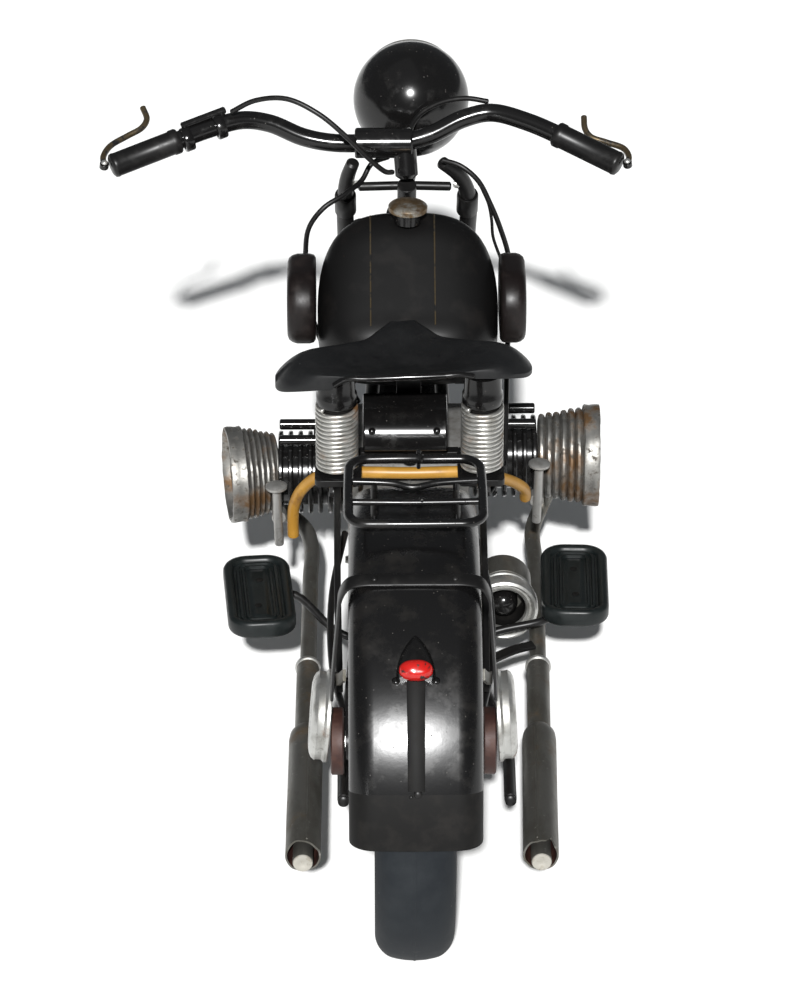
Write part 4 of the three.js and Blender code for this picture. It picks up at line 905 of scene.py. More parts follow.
# The cup on the right, with its black hub.
CUP_LO, CUP_HI = box("coupling_cup")
cup = Vector((CUP_HI.x - 8.4, 0, CUP_LO.z + 8.4))
ring_prof = [(5.3, 3), (5.3, -3.8), (5.6, -4.6), (6.1, -4.9), (6.3, -4.4), (6.8, -4.3), (7.1, -5.2), (7.6, -5.6),
             (8.2, -5.3), (8.4, -4.6),
             (8.4, -2.2), (8.1, -1.4), (7.3, -1.1), (7.2, -0.2), (7.6, 0.2), (7.6, 1.1), (7.2, 1.5), (6.8, 1.8),
             (6.8, 9.2), (6.2, 9.9),
             (0.02, 9.9), (0.02, 3)]
make("coupling_cup_ring",
     [lathe(ring_prof, cup, "y", 72, ring=True), rod((13, 6, cup.z + 1), (17, 6, cup.z + 1), 4.5, 28)], "tinplate",
     replaces="coupling_cup")
make("coupling_back_drum", [lathe([(0, 9.8), (7.1, 9.8), (7.1, 2.2), (6.9, 2.0), (0, 2.0)], cup, "y", 48)],
     "exhaust_steel")
make("coupling_liner", [lathe([(5.28, -3.7), (5.28, 2.9), (0, 2.9), (0, 2.4), (4.9, 2.2), (4.9, -3.7)], cup, "y", 56)],
     "dull_black")
make("coupling_hub_dome",
     [lathe([(0, 2.8), (3.5, 2.8), (3.5, -1.2), (3.2, -2.4), (2.4, -3.4), (1.3, -4.0), (0, -4.2)], cup, "y", 48)],
     "black_enamel")

# Cylinders: barrel, head, push-rod tubes and carburettor on each side.
for side, s in SIDES:
    head_lo, head_hi = box("cylinder_head_" + side)
    y = (head_lo.y + head_hi.y) / 2
    z = (head_lo.z + head_hi.z) / 2
    x_in = (head_hi.x if s < 0 else head_lo.x) * s
    x_out = (head_lo.x if s < 0 else head_hi.x) * s
    big = (head_hi.z - head_lo.z) / 2
    axis_y = Vector((0, y, z))
    prof = [(0, 15.3)]
    fins = 7
    pitch = (x_in - 0.3 - 15.3) / fins
    for k in range(fins):
        h = 15.3 + k * pitch
        prof += [(8.2, h + 0.02), (8.2, h + pitch * 0.42), (10.2, h + pitch * 0.5), (10.45, h + pitch * 0.62),
                 (10.45, h + pitch * 0.82), (10.2, h + pitch * 0.94)]
    prof += [(0, x_in - 0.3)]
    make("barrel_fins_" + side, [lathe(prof, axis_y, (s, 0, 0), 56)], "black_enamel", replaces="barrel_" + side)
    tubes = []
    for dy, dz in ((-3.9, 0.0), (3.6, 0.4)):
        c = Vector((0, y + dy, z + 11.3 + dz))
        tubes.append(lathe([(0, 15.3), (1.35, 15.3), (1.35, 31.9), (1.1, 32.2), (0, 32.2)],
                           c, (s, 0, 0), 24))
    c = Vector((s * 22, y, z + 11.3))
    tubes.append(strip([c + Vector((0, -4, 0)), c + Vector((0, 4, 0))], bar_section(1.6, 0.7), (0, 0, 1), 1))
    make("push_rod_tubes_" + side, tubes, "black_enamel", bevel=0.1)

    # The head is a stack of rolled rings with a wide band outside, and an open dish at its end.
    band = 4.4
    coils = 6
    length = x_out - x_in
    step = (length - band) / coils
    prof = [(0, 0.15), (big * 0.72, 0.15)]
    for k in range(coils):
        r = big * (0.8 + 0.17 * k / coils) + 0.12 * math.sin(k * 2.1)
        h = k * step
        prof += [(r - 1.5, h + step * 0.02), (r - 0.4, h + step * 0.16), (r, h + step * 0.36), (r, h + step * 0.66),
                 (r - 0.35, h + step * 0.88)]
    h = length - band
    prof += [(big - 1.5, h + 0.05), (big - 0.35, h + 0.25), (big - 0.05, h + 0.6), (big - 0.25, h + 1.6),
             (big - 0.1, h + 2.6),
             (big, h + band - 0.7), (big - 0.15, h + band - 0.1), (big - 0.8, h + band), (big - 1.2, h + band - 0.5),
             (big - 1.5, h + band - 1.9), (big * 0.55, h + band - 2.3), (big * 0.3, h + band - 1.9),
             (0, h + band - 1.8)]
    yaw = math.radians({"left": 9.0, "right": 1.5}[side])
    axis = Vector((s * math.cos(yaw), -math.sin(yaw), 0.0))
    verts, faces = lathe(prof, (s * x_in, y + 0.4, z), axis, 80)
    lumpy = []
    for v in verts:
        along = (v - Vector((s * x_in, y, z))).dot(axis)
        k = min(1.0, max(0.0, along / 4))
        lumpy.append(v + Vector((0.16 * k * noise.noise(v * 0.5), 0.3 * k * noise.noise(v * 0.22 + Vector((5, 0, 0))),
                                 0.3 * k * noise.noise(v * 0.22 + Vector((0, 7, 0))))))
    make("head_rings_" + side, [(lumpy, faces)], "head_tin", replaces="cylinder_head_" + side)

    carb_lo, carb_hi = box("carburettor_" + side)
    cx = (carb_lo.x + carb_hi.x) / 2
    cy = carb_lo.y + 2.7
    top = carb_hi.z
    nail = lathe([(0, 0), (1.05, 0), (1.15, 0.3), (1.15, 15.4), (1.5, 15.8), (2.4, 16.0), (2.75, 16.4), (2.7, 16.9),
                  (2.1, 17.25), (0.8, 17.4), (0, 17.4)],
                 (cx, cy, top - 17.2), (0.03 * s, 0.0, 1), 32)
    stub = rod((cx, cy, 46), (cx, cy + 3.4, 46), 1.8, 20)
    make("carburettor_pin_" + side, [nail, stub], "cast_alloy", replaces="carburettor_" + side)

hose = [(-28.8, 15.8, 39.5), (-28.8, 15.2, 44), (-28.4, 13.6, 50), (-26.6, 11, 56), (-22.4, 7, 62.5),
        (-17.4, 2.6, 66.4),
        (-10, 0.4, 67.6), (0, 0, 67.6), (10, 0.4, 67.6), (17.4, 2.6, 66.4), (22, 8, 61.6), (26.4, 14.6, 56),
        (29, 19.6, 51), (29.4, 22.4, 46.8)]
make("fuel_hose_tube", [tube(fit("fuel_hose", hose, 1.3), 1.45, 20, 7)], "hose_rubber", replaces="fuel_hose")

# ---------------------------------------------------------------- exhausts
for side, s in SIDES:
    x, tail_x, head_x, y = {"left": (-24.8, -24.9, -37, 30), "right": (32.6, 28.6, 39, 38)}[side]
    line = [(head_x, y + 8, 39), (head_x, y + 14, 35.6), ((head_x * 2 + x) / 3, y + 18, 30), (x + s * 2, y + 16, 25.5),
            (x, y + 9, 24), (x, y - 8, 24), ((x * 2 + tail_x) / 3, -20, 24.7), ((x + tail_x * 2) / 3, -60, 25.6),
            (tail_x, -100, 26.5), (tail_x, -104.5, 26.6)]
    path = smooth(line, 8)
    joint_y = {"left": -22.0, "right": -20.0}[side]
    front_part = [p for p in path if p.y > joint_y - 0.5 or p is path[0]]
    mid_part = [p for p in path if -60 < p.y <= joint_y + 2.5]
    back_part = [p for p in path if p.y <= -48]
    make("exhaust_header_" + side, [tube(front_part, 2.0, 22, bend=False)], "exhaust_steel",
         replaces="exhaust_pipe_" + side)
    make("exhaust_middle_" + side, [tube(mid_part, 2.75, 24, bend=False)], "exhaust_steel")
    at = mid_part[0]
    d = (mid_part[1] - mid_part[0]).normalized()
    collar = lathe([(2.0, 0.2), (2.75, 0), (3.1, 0.25), (3.15, 1.2), (2.85, 1.5), (2.6, 1.5)], at - d * 0.4, d, 32,
                   ring=True)
    make("exhaust_joint_ring_" + side, [collar], "tinplate", bevel=0.08)
    make("exhaust_tail_" + side, [tube(back_part, 2.3, 24, bend=False, square_ends=True)], "exhaust_steel")
    tip = back_part[-1]
    td = (back_part[-1] - back_part[-3]).normalized()
    make("exhaust_tail_face_" + side,
         [lathe([(0, 0), (2.25, 0), (2.1, 0.28), (1.2, 0.34), (0.9, 0.18), (0, 0.16)], tip - td * 0.02, td, 28)],
         "bare_end")

    # The silencer's sleeve is rolled sheet, cut off roughly at the back.
    sleeve = [p for p in path if -101.0 < p.y < -47]
    start, stop = sleeve[0], sleeve[-1]
    aim = (stop - start).normalized()
    u = aim.cross(Vector((0, 0, 1))).normalized()
    v = u.cross(aim)
    seg = 56
    length = (stop - start).length + 1.0
    outer, inner = [], []
    steps = 26
    for k in range(steps + 1):
        t = k / steps
        grow = min(1.0, t * length / 3.2)
        r = 2.95 + (4.02 - 2.95) * math.sin(grow * PI / 2)
        ring_o, ring_i = [], []
        for i in range(seg):
            a = 2 * PI * i / seg
            rough = 0.55 * noise.noise(Vector((math.cos(a) * 2.2, math.sin(a) * 2.2, s * 3.0))) if k == steps else 0.0
            if k == steps and side == "right":
                rough -= 1.9 * math.exp(-((((a - 2.2 + PI) % (2 * PI)) - PI) / 0.28) ** 2)
            if k == steps and side == "left":
                rough -= 0.9 * math.exp(-((((a - 1.2 + PI) % (2 * PI)) - PI) / 0.35) ** 2)
            dent = 1 + 0.012 * noise.noise(Vector((a, t * 5, s)))
            p = start + aim * (t * length + rough)
            w = u * math.cos(a) + v * math.sin(a)
            ring_o.append(p + w * r * dent)
            ring_i.append(p + w * (r * dent - 0.42))
        outer.append(ring_o)
        inner.append(ring_i)
    rings = outer + inner[::-1]
    verts, faces = loft(rings, wrap=True)
    m = seg
    index = [0] * (m * (steps + 1)) + [1] * (m * steps) + [0] * m
    make("silencer_sleeve_" + side, [(verts, faces, index[:len(faces)])], ["exhaust_steel", "rust_brown"],
         replaces="silencer_" + side)
    seam = tube([start + aim * 3.6 + v * 3.9 + u * s * 0.9, stop + v * 3.95 + u * s * 0.9], 0.22, 8, 10)
    make("silencer_seam_" + side, [seam], "exhaust_steel")
make("exhaust_bracket_right", [strip([(30.4, -15, 27.6), (25, -17, 27.2), (18.4, -21, 26.4)], bar_section(1.5, 0.4),
                                     (0, 0, 1), 4)], "satin_black", bevel=0.1)

# ---------------------------------------------------------------- tank
TANK = [(19.4, 9, 92, 82), (21, 15, 95, 80.6), (25, 19.4, 98.6, 79.6), (30, 21.6, 103, 79), (36, 22.4, 108.2, 79.4),
        (42, 21.8, 113, 81), (47, 19.6, 114.6, 83.4), (51, 15.4, 112.6, 87), (54, 9.4, 108, 91.4),
        (55.4, 4.4, 103.6, 95.4)]


def tank_at(y):
    """Half width, top and bottom of the tank at a place along it."""
    return blend_row(TANK, y)


def tank_ring(y, count, power_up=0.66, power_down=0.42):
    half, top, bottom = tank_at(y)
    middle = bottom + (top - bottom) * 0.42
    ring = []
    for i in range(count):
        a = 2 * PI * (i + 0.5) / count
        c, s = math.cos(a), math.sin(a)
        power = power_up if s > 0 else power_down
        px = math.copysign(abs(c) ** power, c)
        pz = math.copysign(abs(s) ** power, s)
        ring.append(Vector((half * px, y, middle + (top - middle if s > 0 else middle - bottom) * pz)))
    return ring


def tank_top(x, y):
    half, top, bottom = tank_at(y)
    middle = bottom + (top - bottom) * 0.42
    c = min(1.0, abs(x) / half) ** (1 / 0.66)
    return middle + (top - middle) * (math.sqrt(max(0.0, 1 - c * c)) ** 0.66)


ys = [19.4 + (55.4 - 19.4) * (0.5 - 0.5 * math.cos(PI * k / 40)) for k in range(41)]
rings = [tank_ring(y, 72) for y in ys]
first = [p.lerp(Vector((0, ys[0], 84)), 0.35) + Vector((0, -0.25, 0)) for p in rings[0]]
last = [p.lerp(Vector((0, ys[-1], 99.5)), 0.4) + Vector((0, 0.25, 0)) for p in rings[-1]]
make("fuel_tank_shell", [loft([first, *rings, last])], "tank_black", replaces="fuel_tank", sharp=60)
seams = []
for x in (-9.2, 6.6):
    line = [Vector((x, y, tank_top(x, y) + 0.02)) for y in (22.5, 25, 28, 31, 34, 37, 40, 43, 45.5, 47.5)]
    seams.append(tube(line, 0.2, 8, 4))
make("fuel_tank_seams", seams, "lever_brass")
CAP_LO, CAP_HI = box("filler_cap")
cap = Vector(((CAP_LO.x + CAP_HI.x) / 2, (CAP_LO.y + CAP_HI.y) / 2, CAP_LO.z))
cap_tilt = (0.02, 0.02, 1)
make("filler_neck", [lathe([(0, -0.4), (3.3, -0.4), (3.3, 2.6), (0, 2.6)], cap, cap_tilt, 36)], "black_enamel")
# The edge of every second turn stands out by this share of its radius.
KNURL_DEPTH = 0.018
knurl = [(0, 2.5), (4.3, 2.5), (4.7, 2.8), (4.75, 3.9), (4.45, 4.3), (3.5, 4.75), (1.8, 5.05), (0, 5.1)]
verts, faces = lathe(knurl, cap, cap_tilt, 96)
for i, v in enumerate(verts):
    if i // len(knurl) % 2 and i % len(knurl) in (2, 3):
        verts[i] = v + (v - cap - Vector((0, 0, v.z - cap.z))) * KNURL_DEPTH
make("filler_cap_lid", [(verts, faces)], "aged_brass", replaces="filler_cap")

for side, s in SIDES:
    lo, hi = box("knee_pad_" + side)
    c = (lo + hi) / 2
    inner_x = hi.x if s < 0 else lo.x
    h, w = hi.z - lo.z, hi.y - lo.y
    levels = [(0.9, 0.0), (0.25, 0.35), (0.0, 1.0), (0.0, 3.1), (0.3, 3.9), (0.9, 4.5), (1.7, 4.75), (2.5, 4.6),
              (2.9, 4.0), (3.3, 3.7),
              (4.2, 3.72), (5.6, 3.8), (7.2, 3.85)]
    rings = []
    for inset, out in levels:
        r = max(8.6 - inset * 0.75, 1.4)
        pts = round_rect(w - 2 * inset, h - 2 * inset, min(r, (min(w, h) / 2 - inset) - 0.02), 10)
        rings.append([Vector((inner_x + s * out * (hi.x - lo.x) / 4.85, c.y + y, c.z + z)) for y, z in pts])
    make("knee_pad_rubber_" + side, [loft(rings)], "pad_rubber", replaces="knee_pad_" + side, sharp=60)

# ---------------------------------------------------------------- saddle
SEAT_X = -1.4
STATIONS = [(-11.8, 17, 101.0, 100.8, 99.8), (-10.6, 24, 100.8, 100.9, 98.9), (-6, 29.6, 98.9, 100.6, 96.8),
            (0, 30.4, 97.3, 100.4, 96.2),
            (5.5, 26.6, 96.9, 99.6, 96.8), (9.5, 18, 97, 98.4, 96.9), (13.5, 10, 97.4, 97.6, 96.9),
            (18, 6, 98, 97.8, 97.3),
            (21.5, 3, 98.2, 98.1, 97.8)]


def saddle_top(t, y):
    half, middle, shoulder, edge = blend_row(STATIONS, y)
    a = abs(t)
    if a < 0.8:
        k = a / 0.8
        z = middle + (shoulder - middle) * (k * k * (3 - 2 * k))
    else:
        k = (a - 0.8) / 0.2
        z = shoulder + (edge - shoulder) * (1 - math.cos(k * PI / 2)) ** 1.1
    if t < -0.86 and y < -2:
        z -= 1.3 * ((-t - 0.86) / 0.14) ** 1.5
    return Vector((SEAT_X + half * t, y + (t * t - 0.5), z + 0.04 * half * t))


seat_rings = []
ts = [-1 + 2 * i / 44 for i in range(45)]
ts = [math.copysign(abs(t) ** 0.85, t) for t in ts]
for k in range(41):
    y = -11.8 + (21.5 + 11.8) * k / 40
    top = [saddle_top(t, y) for t in ts]
    low = [p - Vector((0, 0, 1.15)) for p in top]
    wobble = [p + Vector((0, 0, 0.1 * noise.noise(p * 0.13))) for p in top]
    seat_rings.append(wobble + low[::-1])
make("saddle_cover", [loft(seat_rings)], "seat_black", replaces="saddle", bevel=0.35, sharp=50)
lip = [saddle_top(t, -11.8) + Vector((0, -0.15, -0.5)) for t in (-0.98, -0.8, -0.55, -0.3, 0, 0.3, 0.55, 0.8, 0.98)]
make("saddle_rear_lip", [tube(lip, 0.72, 12, 5)], "black_enamel")
for side, s in SIDES:
    plug = lathe([(0, 0), (4.6, 0), (4.9, 0.4), (4.9, 2.6), (4.5, 3.2), (4.4, 7.8), (0, 7.8)],
                 (s * SPRING_X, SPRING_Y, 90.3), "z", 40)
    make("spring_plug_" + side, [plug], "black_enamel")
    lo, hi = box("saddle_spring_" + side)
    c = (lo + hi) / 2
    wire = 0.56
    turns = (hi.z - lo.z - 2 * wire) / (2 * wire * 1.03)
    R_coil = (hi.x - lo.x) / 2 - wire
    pts = []
    n = int(turns * 26)
    for k in range(n + 1):
        a = 2 * PI * turns * k / n
        rad = R_coil + 0.10 * noise.noise(Vector((k * 0.02, s, 0)))
        z = lo.z + wire + (hi.z - lo.z - 2 * wire) * k / n
        pts.append(Vector((c.x + rad * math.cos(a), c.y + rad * math.sin(a), z)))
    coil = tube(pts, wire, 8, 1, bend=False)
    inner = lathe([(0, lo.z + 0.4), (3.9, lo.z + 0.4), (3.9, hi.z - 0.4), (0, hi.z - 0.4)], (c.x, c.y, 0), "z", 24)
    make("saddle_coil_" + side, [coil], "spring_wire", replaces="saddle_spring_" + side, sharp=80)
    make("saddle_spring_core_" + side, [inner], "dull_black")

# ---------------------------------------------------------------- tool box
TB_LO, TB_HI = box("tool_box")
prof = [(11.2, 75.2), (11.4, 76), (11.4, 83.2), (10.6, 84)]
prof += [(3.4 - 7.4 * math.sin(a), 76.6 + 7.4 * math.cos(a)) for a in (PI / 2 * k / 12 for k in range(13))]
prof += [(-3.2, 75.3)]
box_body = slab(prof, TB_LO.x, TB_HI.x, "x")
make("tool_box_shell", [box_body], "black_enamel", replaces="tool_box", bevel=1.3, sharp=50)
studs = []
for x in (TB_LO.x + 2.2, TB_HI.x - 2.6):
    studs.append(dome((x, -2.75, 80.7), (0, -0.83, 0.55), 0.95, 0.8))
make("tool_box_studs", studs, "black_enamel")
make("saddle_post_pin", [rod((-4, 13.3, 90), (4, 13.3, 90), 0.9, 16)], "satin_black")

# ---------------------------------------------------------------- luggage rack
RACK_LO, RACK_HI = box("luggage_rack")
rc = Vector(((RACK_LO.x + RACK_HI.x) / 2, (RACK_LO.y + RACK_HI.y) / 2, RACK_HI.z - 1.1))
wire = 1.05
w, l = (RACK_HI.x - RACK_LO.x) - 2 * wire, (RACK_HI.y - RACK_LO.y) - 2 * wire
corners = round_rect(w, l, 4.6, 8)
loop = [Vector((rc.x + x, rc.y + y, rc.z + 0.15 * noise.noise(Vector((x, y, 0)) * 0.1))) for x, y in corners]
front_mid = Vector((rc.x + 0.8, rc.y + l / 2, rc.z))
walk = loop[9:] + loop[:9]
walk = [front_mid + Vector((1.2, -0.5, 0.3)),
        front_mid + Vector((-0.6, 0.0, 0.1))] + walk + [front_mid + Vector((1.6, 0.0, -0.1)),
                                                        front_mid + Vector((-0.3, 0.55, -0.35))]
parts = [tube(walk, wire, 14, 2)]
parts.append(rod(front_mid + Vector((0.1, 0.3, -2.6)), front_mid + Vector((0.1, 0.3, 2.0)), 0.5, 12))
RACK_ROWS = (RACK_HI.y - 10.5, RACK_HI.y - 19.5)
y = RACK_ROWS[0]
parts.append(tube([(rc.x - w / 2 + 0.4, y, rc.z - 0.3), (rc.x - 5, y - 0.5, rc.z - 0.5),
                   (rc.x - 0.6, y - 1.6, rc.z - 0.9), (rc.x + 5, y - 0.4, rc.z - 0.5),
                   (rc.x + w / 2 - 0.4, y + 0.4, rc.z - 0.3)], 0.75, 12, 6))
y = RACK_ROWS[1]
parts.append(tube([(rc.x - w / 2 + 0.4, y, rc.z - 0.3), (rc.x, y - 0.2, rc.z - 0.35),
                   (rc.x + w / 2 - 0.4, y + 0.1, rc.z - 0.3)], 0.75, 12, 6))
parts.append(ball((rc.x + 1.4, RACK_ROWS[1] - 0.4, rc.z + 0.5), (0.7, 0.7, 0.6), 12, 8))
for y in RACK_ROWS:
    for dx in (-9, 9):
        foot = rear.z + math.sqrt(FENDER_R ** 2 - (y - rear.y) ** 2)
        parts.append(rod((rc.x + dx, y, foot - 0.1), (rc.x + dx, y, rc.z - 0.3), 0.75, 12))
make("luggage_rack_wire", parts, "fender_black", replaces="luggage_rack")

# ---------------------------------------------------------------- fork
FA_LO, FA_HI = box("front_axle")
make("front_axle_pin", [rod((FA_LO.x, front.y, front.z), (FA_HI.x, front.y, front.z), AX_R, 24)]
     + [axle_nut(s * 18.2 if s > 0 else -19.4, front) for _, s in SIDES],
     "tinplate", "fork", "front_axle")
TRAIL = 3
axle_down = (STEER_TOP.z + TRAIL * STEER_FWD.z - front.z) / STEER_UP.z
LEG_TOP = {"left": -13.4, "right": 8.6}
for side, s in SIDES:
    x = s * 15.5
    line = [fork_at(LEG_TOP[side], 1.2, 5), fork_at((LEG_TOP[side] + x * 2) / 3, 7, 5), fork_at(x, 15, 5),
            fork_at(x, 40, 5),
            fork_at(x, 68, 5), fork_at(x, 79, 5), fork_at(x, axle_down - 1.5, TRAIL - 0.4)]
    leg = tube(line, lambda t: 1.65 + 0.55 * min(1.0, t * 5), 20, 7)
    lower = tube([fork_at(x, 40, 5), fork_at(x, 68, 5), fork_at(x, 79, 5), fork_at(x, axle_down - 1.5, TRAIL - 0.4)],
                 2.55, 22, 7)
    sleeve = lathe([(2.2, 0), (2.6, 0), (2.75, 0.3), (2.75, 6.6), (2.6, 7), (2.2, 7)], fork_at(x, 22, 5), STEER_UP, 28,
                   ring=True)
    lug = lathe([(AX_R + 0.1, -2.2), (3.2, -2.2), (3.5, -1.9), (3.5, 1.9), (3.2, 2.2), (AX_R + 0.1, 2.2)],
                (x, front.y, front.z), "x", 32, ring=True)
    make("fork_leg_tube_" + side, [leg, lower, sleeve, lug], "satin_black", "fork", "fork_leg_" + side)
    make("fork_leg_bolt_" + side, hex_bolt(fork_at(s * 12.6, 9.6, 4.2), (s * 0.3, -1, 0.3), 0.85, 0.9), "tinplate",
         "fork")
stem = rod(fork_at(0, 31.5), fork_at(0, 3.9), 2.4, 28)
cross = tube([fork_at(-12.2, 8.3, 2.6), fork_at(0, 7.9, 2.6), fork_at(11.2, 8.3, 2.6)], 1.15, 16, 4)
lamp_lo, lamp_hi = box("headlamp_shell")
lamp_r = (lamp_hi.x - lamp_lo.x) / 2
lamp = Vector(((lamp_lo.x + lamp_hi.x) / 2, lamp_lo.y + lamp_r, (lamp_lo.z + lamp_hi.z) / 2))
bracket = tube([fork_at(0, 9.6, 2), Vector((lamp.x, lamp.y - 9, lamp.z - lamp_r - 1.4)),
                Vector((lamp.x, lamp.y - 4, lamp.z - lamp_r - 0.2))], 1.35, 14, 6)
reach = 12.9
lower_plate = []
for h in (-1.3, 1.3):
    ring = []
    for px, py in round_rect(2 * reach + 4, 9, 3.6, 6):
        ring.append(fork_at(px, 29.2 - h, 2.4 + py))
    lower_plate.append(ring)
nut = lathe([(0, 0), (3.3, 0), (3.5, 0.4), (3.5, 2.2), (2.6, 2.9), (2.4, 3.4), (0, 3.6)], fork_at(0, 15.8), STEER_UP, 6)
make("fork_stem_and_plate", [stem, cross, loft(lower_plate)], "satin_black", "fork", "fork_yoke", bevel=0.15)
make("steering_head_nut", [nut], "black_enamel", "fork", bevel=0.12)
make("lamp_bracket", [bracket], "satin_black", "fork")
lugs = []
for s in (-1, 1):
    c = fork_at(0, 56.5, 5)
    lugs.append(rod((s * 9.6, c.y, c.z), (s * 13.0, c.y, c.z), 1.0, 14))
make("front_mudguard_lugs", lugs, "satin_black", "fork")
stays = []
for s in (-1, 1):
    a = Vector((s * 15.0, front.y, front.z + 2))
    for ang in (38, 75):
        b = about(front, F_HI.z - front.z - 5.5, ang, s * 10.1)
        stays.append(tube([a + Vector((-s * 0.4, 0, 0)), b + Vector((s * 0.9, 0, 0)), b + Vector((0, 0, 0))], 0.6, 10,
                          4))
make("front_mudguard_stays", stays, "satin_black", "fork")

# ---------------------------------------------------------------- handlebar
BAR = [(-72, 51.4, 126.2), (-60, 56, 129.2), (-50, 60, 131.6), (-41, 63, 132.9), (-34, 63.6, 131.7), (-26, 62.6, 128.5),
       (-19, 62, 127.2), (-10, 62, 127), (-1, 62, 127.3), (6, 62.6, 129), (14, 64, 132.6), (21, 64.6, 134),
       (30, 61.6, 132.8), (40, 57, 130), (51.5, 51, 126.4)]
make("handlebar_tube", [tube(BAR, 2.3, 22, 7)], "black_enamel", "fork", "handlebar")
clamp_parts = [lathe([(2.3, -11.2), (3.4, -11.2), (3.8, -10.8), (3.8, 2.8), (3.4, 3.2), (2.3, 3.2)], (-1.8, 62, 127.05),
                     "x", 32, ring=True),
               tube([fork_at(0, 1.4), Vector((-0.6, 61.6, 126.4))], 2.9, 20, 1, bend=False)]
make("handlebar_clamp", clamp_parts, "black_enamel", "fork", "bar_clamp", bevel=0.15)
for side, s in SIDES:
    a, b = (Vector(BAR[0]), Vector(BAR[1])) if s < 0 else (Vector(BAR[-1]), Vector(BAR[-2]))
    out = (a - b).normalized()
    prof = [(2.3, -17), (2.9, -17), (3.2, -16.6), (3.2, -15.2), (2.98, -14.8), (2.98, -0.4), (3.1, 0.1), (2.9, 0.8),
            (2.2, 1.2), (0, 1.25), (0, -1), (2.3, -1)]
    make("handlebar_grip_" + side, [lathe(prof, a, out, 36, ring=True)], "satin_black", "fork", "grip_" + side,
         sharp=50)

a, b = Vector((-54.5, 58.3, 131.3)), Vector((-46.5, 61.2, 133.3))
along = (b - a).normalized()
lift = Vector((0, 0.9, 2.3))
clamps = [lathe([(2.3, -1.2), (2.9, -1.2), (3.1, -0.9), (3.1, 0.9), (2.9, 1.2), (2.3, 1.2)], p - Vector((0, 0.3, 1.2)),
                along, 24, ring=True) for p in (a, b)]
clamps.append(tube([a + lift - along * 1.6, a + lift, b + lift, b + lift + along * 1.6], 0.95, 14, 3, squash=0.7))
clamps += [tube([p, p + lift], 0.85, 12, 1, bend=False) for p in (a - along * 0.6, b + along * 0.6)]
make("dip_switch_bracket", clamps, "black_enamel", "fork")
make("dip_switch_screws",
     [dome(a + lift * 1.1 - along * 1.0, (0, -0.3, 1), 0.6, 0.4),
      dome(b + lift * 1.1 + along * 1.0, (0, -0.3, 1), 0.6, 0.4)],
     "tinplate", "fork")

LEVER = {
    "left": [(-74.8, 50.4, 126.2), (-75.2, 54, 127), (-73.6, 58.6, 128), (-69.4, 62.2, 129.2), (-66, 64.4, 130.4),
             (-64.8, 67.2, 131.6), (-66, 71, 133.4)],
    "right": [(54.5, 49.8, 126.4), (55, 53, 127), (53.8, 56.4, 127.8), (49.4, 58.6, 128.6), (45.8, 60, 129.4),
              (44.4, 62.2, 130.6), (44.2, 66.4, 132.4)],
}
for side, s in SIDES:
    node = "clutch_lever" if s < 0 else "brake_lever"
    pts = fit(node, LEVER[side], 0.75)
    dense = smooth(pts, 7)
    make(node + "_wire", [tube(dense, 0.78, 14, 1, bend=False)], "lever_brass", node, node)
    end = Vector(pts[0])
    hinge = Vector((-0.15 * s, -0.35, 0.92)).normalized()
    make(node + "_eye", [lathe([(0.3, -0.7), (1.15, -0.7), (1.15, 0.7), (0.3, 0.7)], end, hinge, 20, ring=True)],
         "black_enamel", node, bevel=0.1)
    make(node + "_rivet", [dome(end + hinge * 1.05, hinge, 0.8, 0.5)], "tinplate", "fork")

# ---------------------------------------------------------------- headlamp
MOUTH = math.radians(125)
arc = [(lamp_r * math.sin(MOUTH * k / 40), -lamp_r * math.cos(MOUTH * k / 40)) for k in range(41)]
arc_in = [((lamp_r - 0.9) * math.sin(MOUTH * k / 24), -(lamp_r - 0.9) * math.cos(MOUTH * k / 24)) for k in range(24, -1,
                                                                                                                 -1)]
make("headlamp_bowl", [lathe(arc + arc_in, lamp, "y", 96)], "black_enamel", "fork", "headlamp_shell")
mouth_y = -lamp_r * math.cos(MOUTH) + 0.3
mouth_r = lamp_r * math.sin(MOUTH)
rim = [(mouth_r - 2, mouth_y), (mouth_r + 0.25, mouth_y), (mouth_r + 0.45, mouth_y + 0.5),
       (mouth_r + 0.1, mouth_y + 1.3), (mouth_r - 0.8, mouth_y + 1.9), (mouth_r - 1.8, mouth_y + 1.7),
       (mouth_r - 2.1, mouth_y + 1.2)]
bowl = [(0, -5), (4.5, -4.4), (8, -0.4), (mouth_r - 1.5, mouth_y), (mouth_r - 1.5, mouth_y + 0.8), (7.4, 0.6),
        (4.2, -3.4), (0, -4)]
make("headlamp_bezel", [lathe(rim, lamp, "y", 96, ring=True), lathe(bowl, lamp, "y", 72)], "tinplate", "fork",
     "headlamp_rim")
glass = [(0, mouth_y + 1), (mouth_r - 2.3, mouth_y + 0.9), (mouth_r - 2.2, mouth_y + 1.5), (8, mouth_y + 2.4),
         (5, mouth_y + 3), (0, mouth_y + 3.5)]
make("headlamp_glass", [lathe(glass, lamp, "y", 72)], "clear_glass", "fork", "headlamp_lens")
make("headlamp_bulb", [ball(lamp + Vector((0, 0.6, 0)), (1.9, 2.5, 1.9), 20, 14)], "bare_end", "fork")

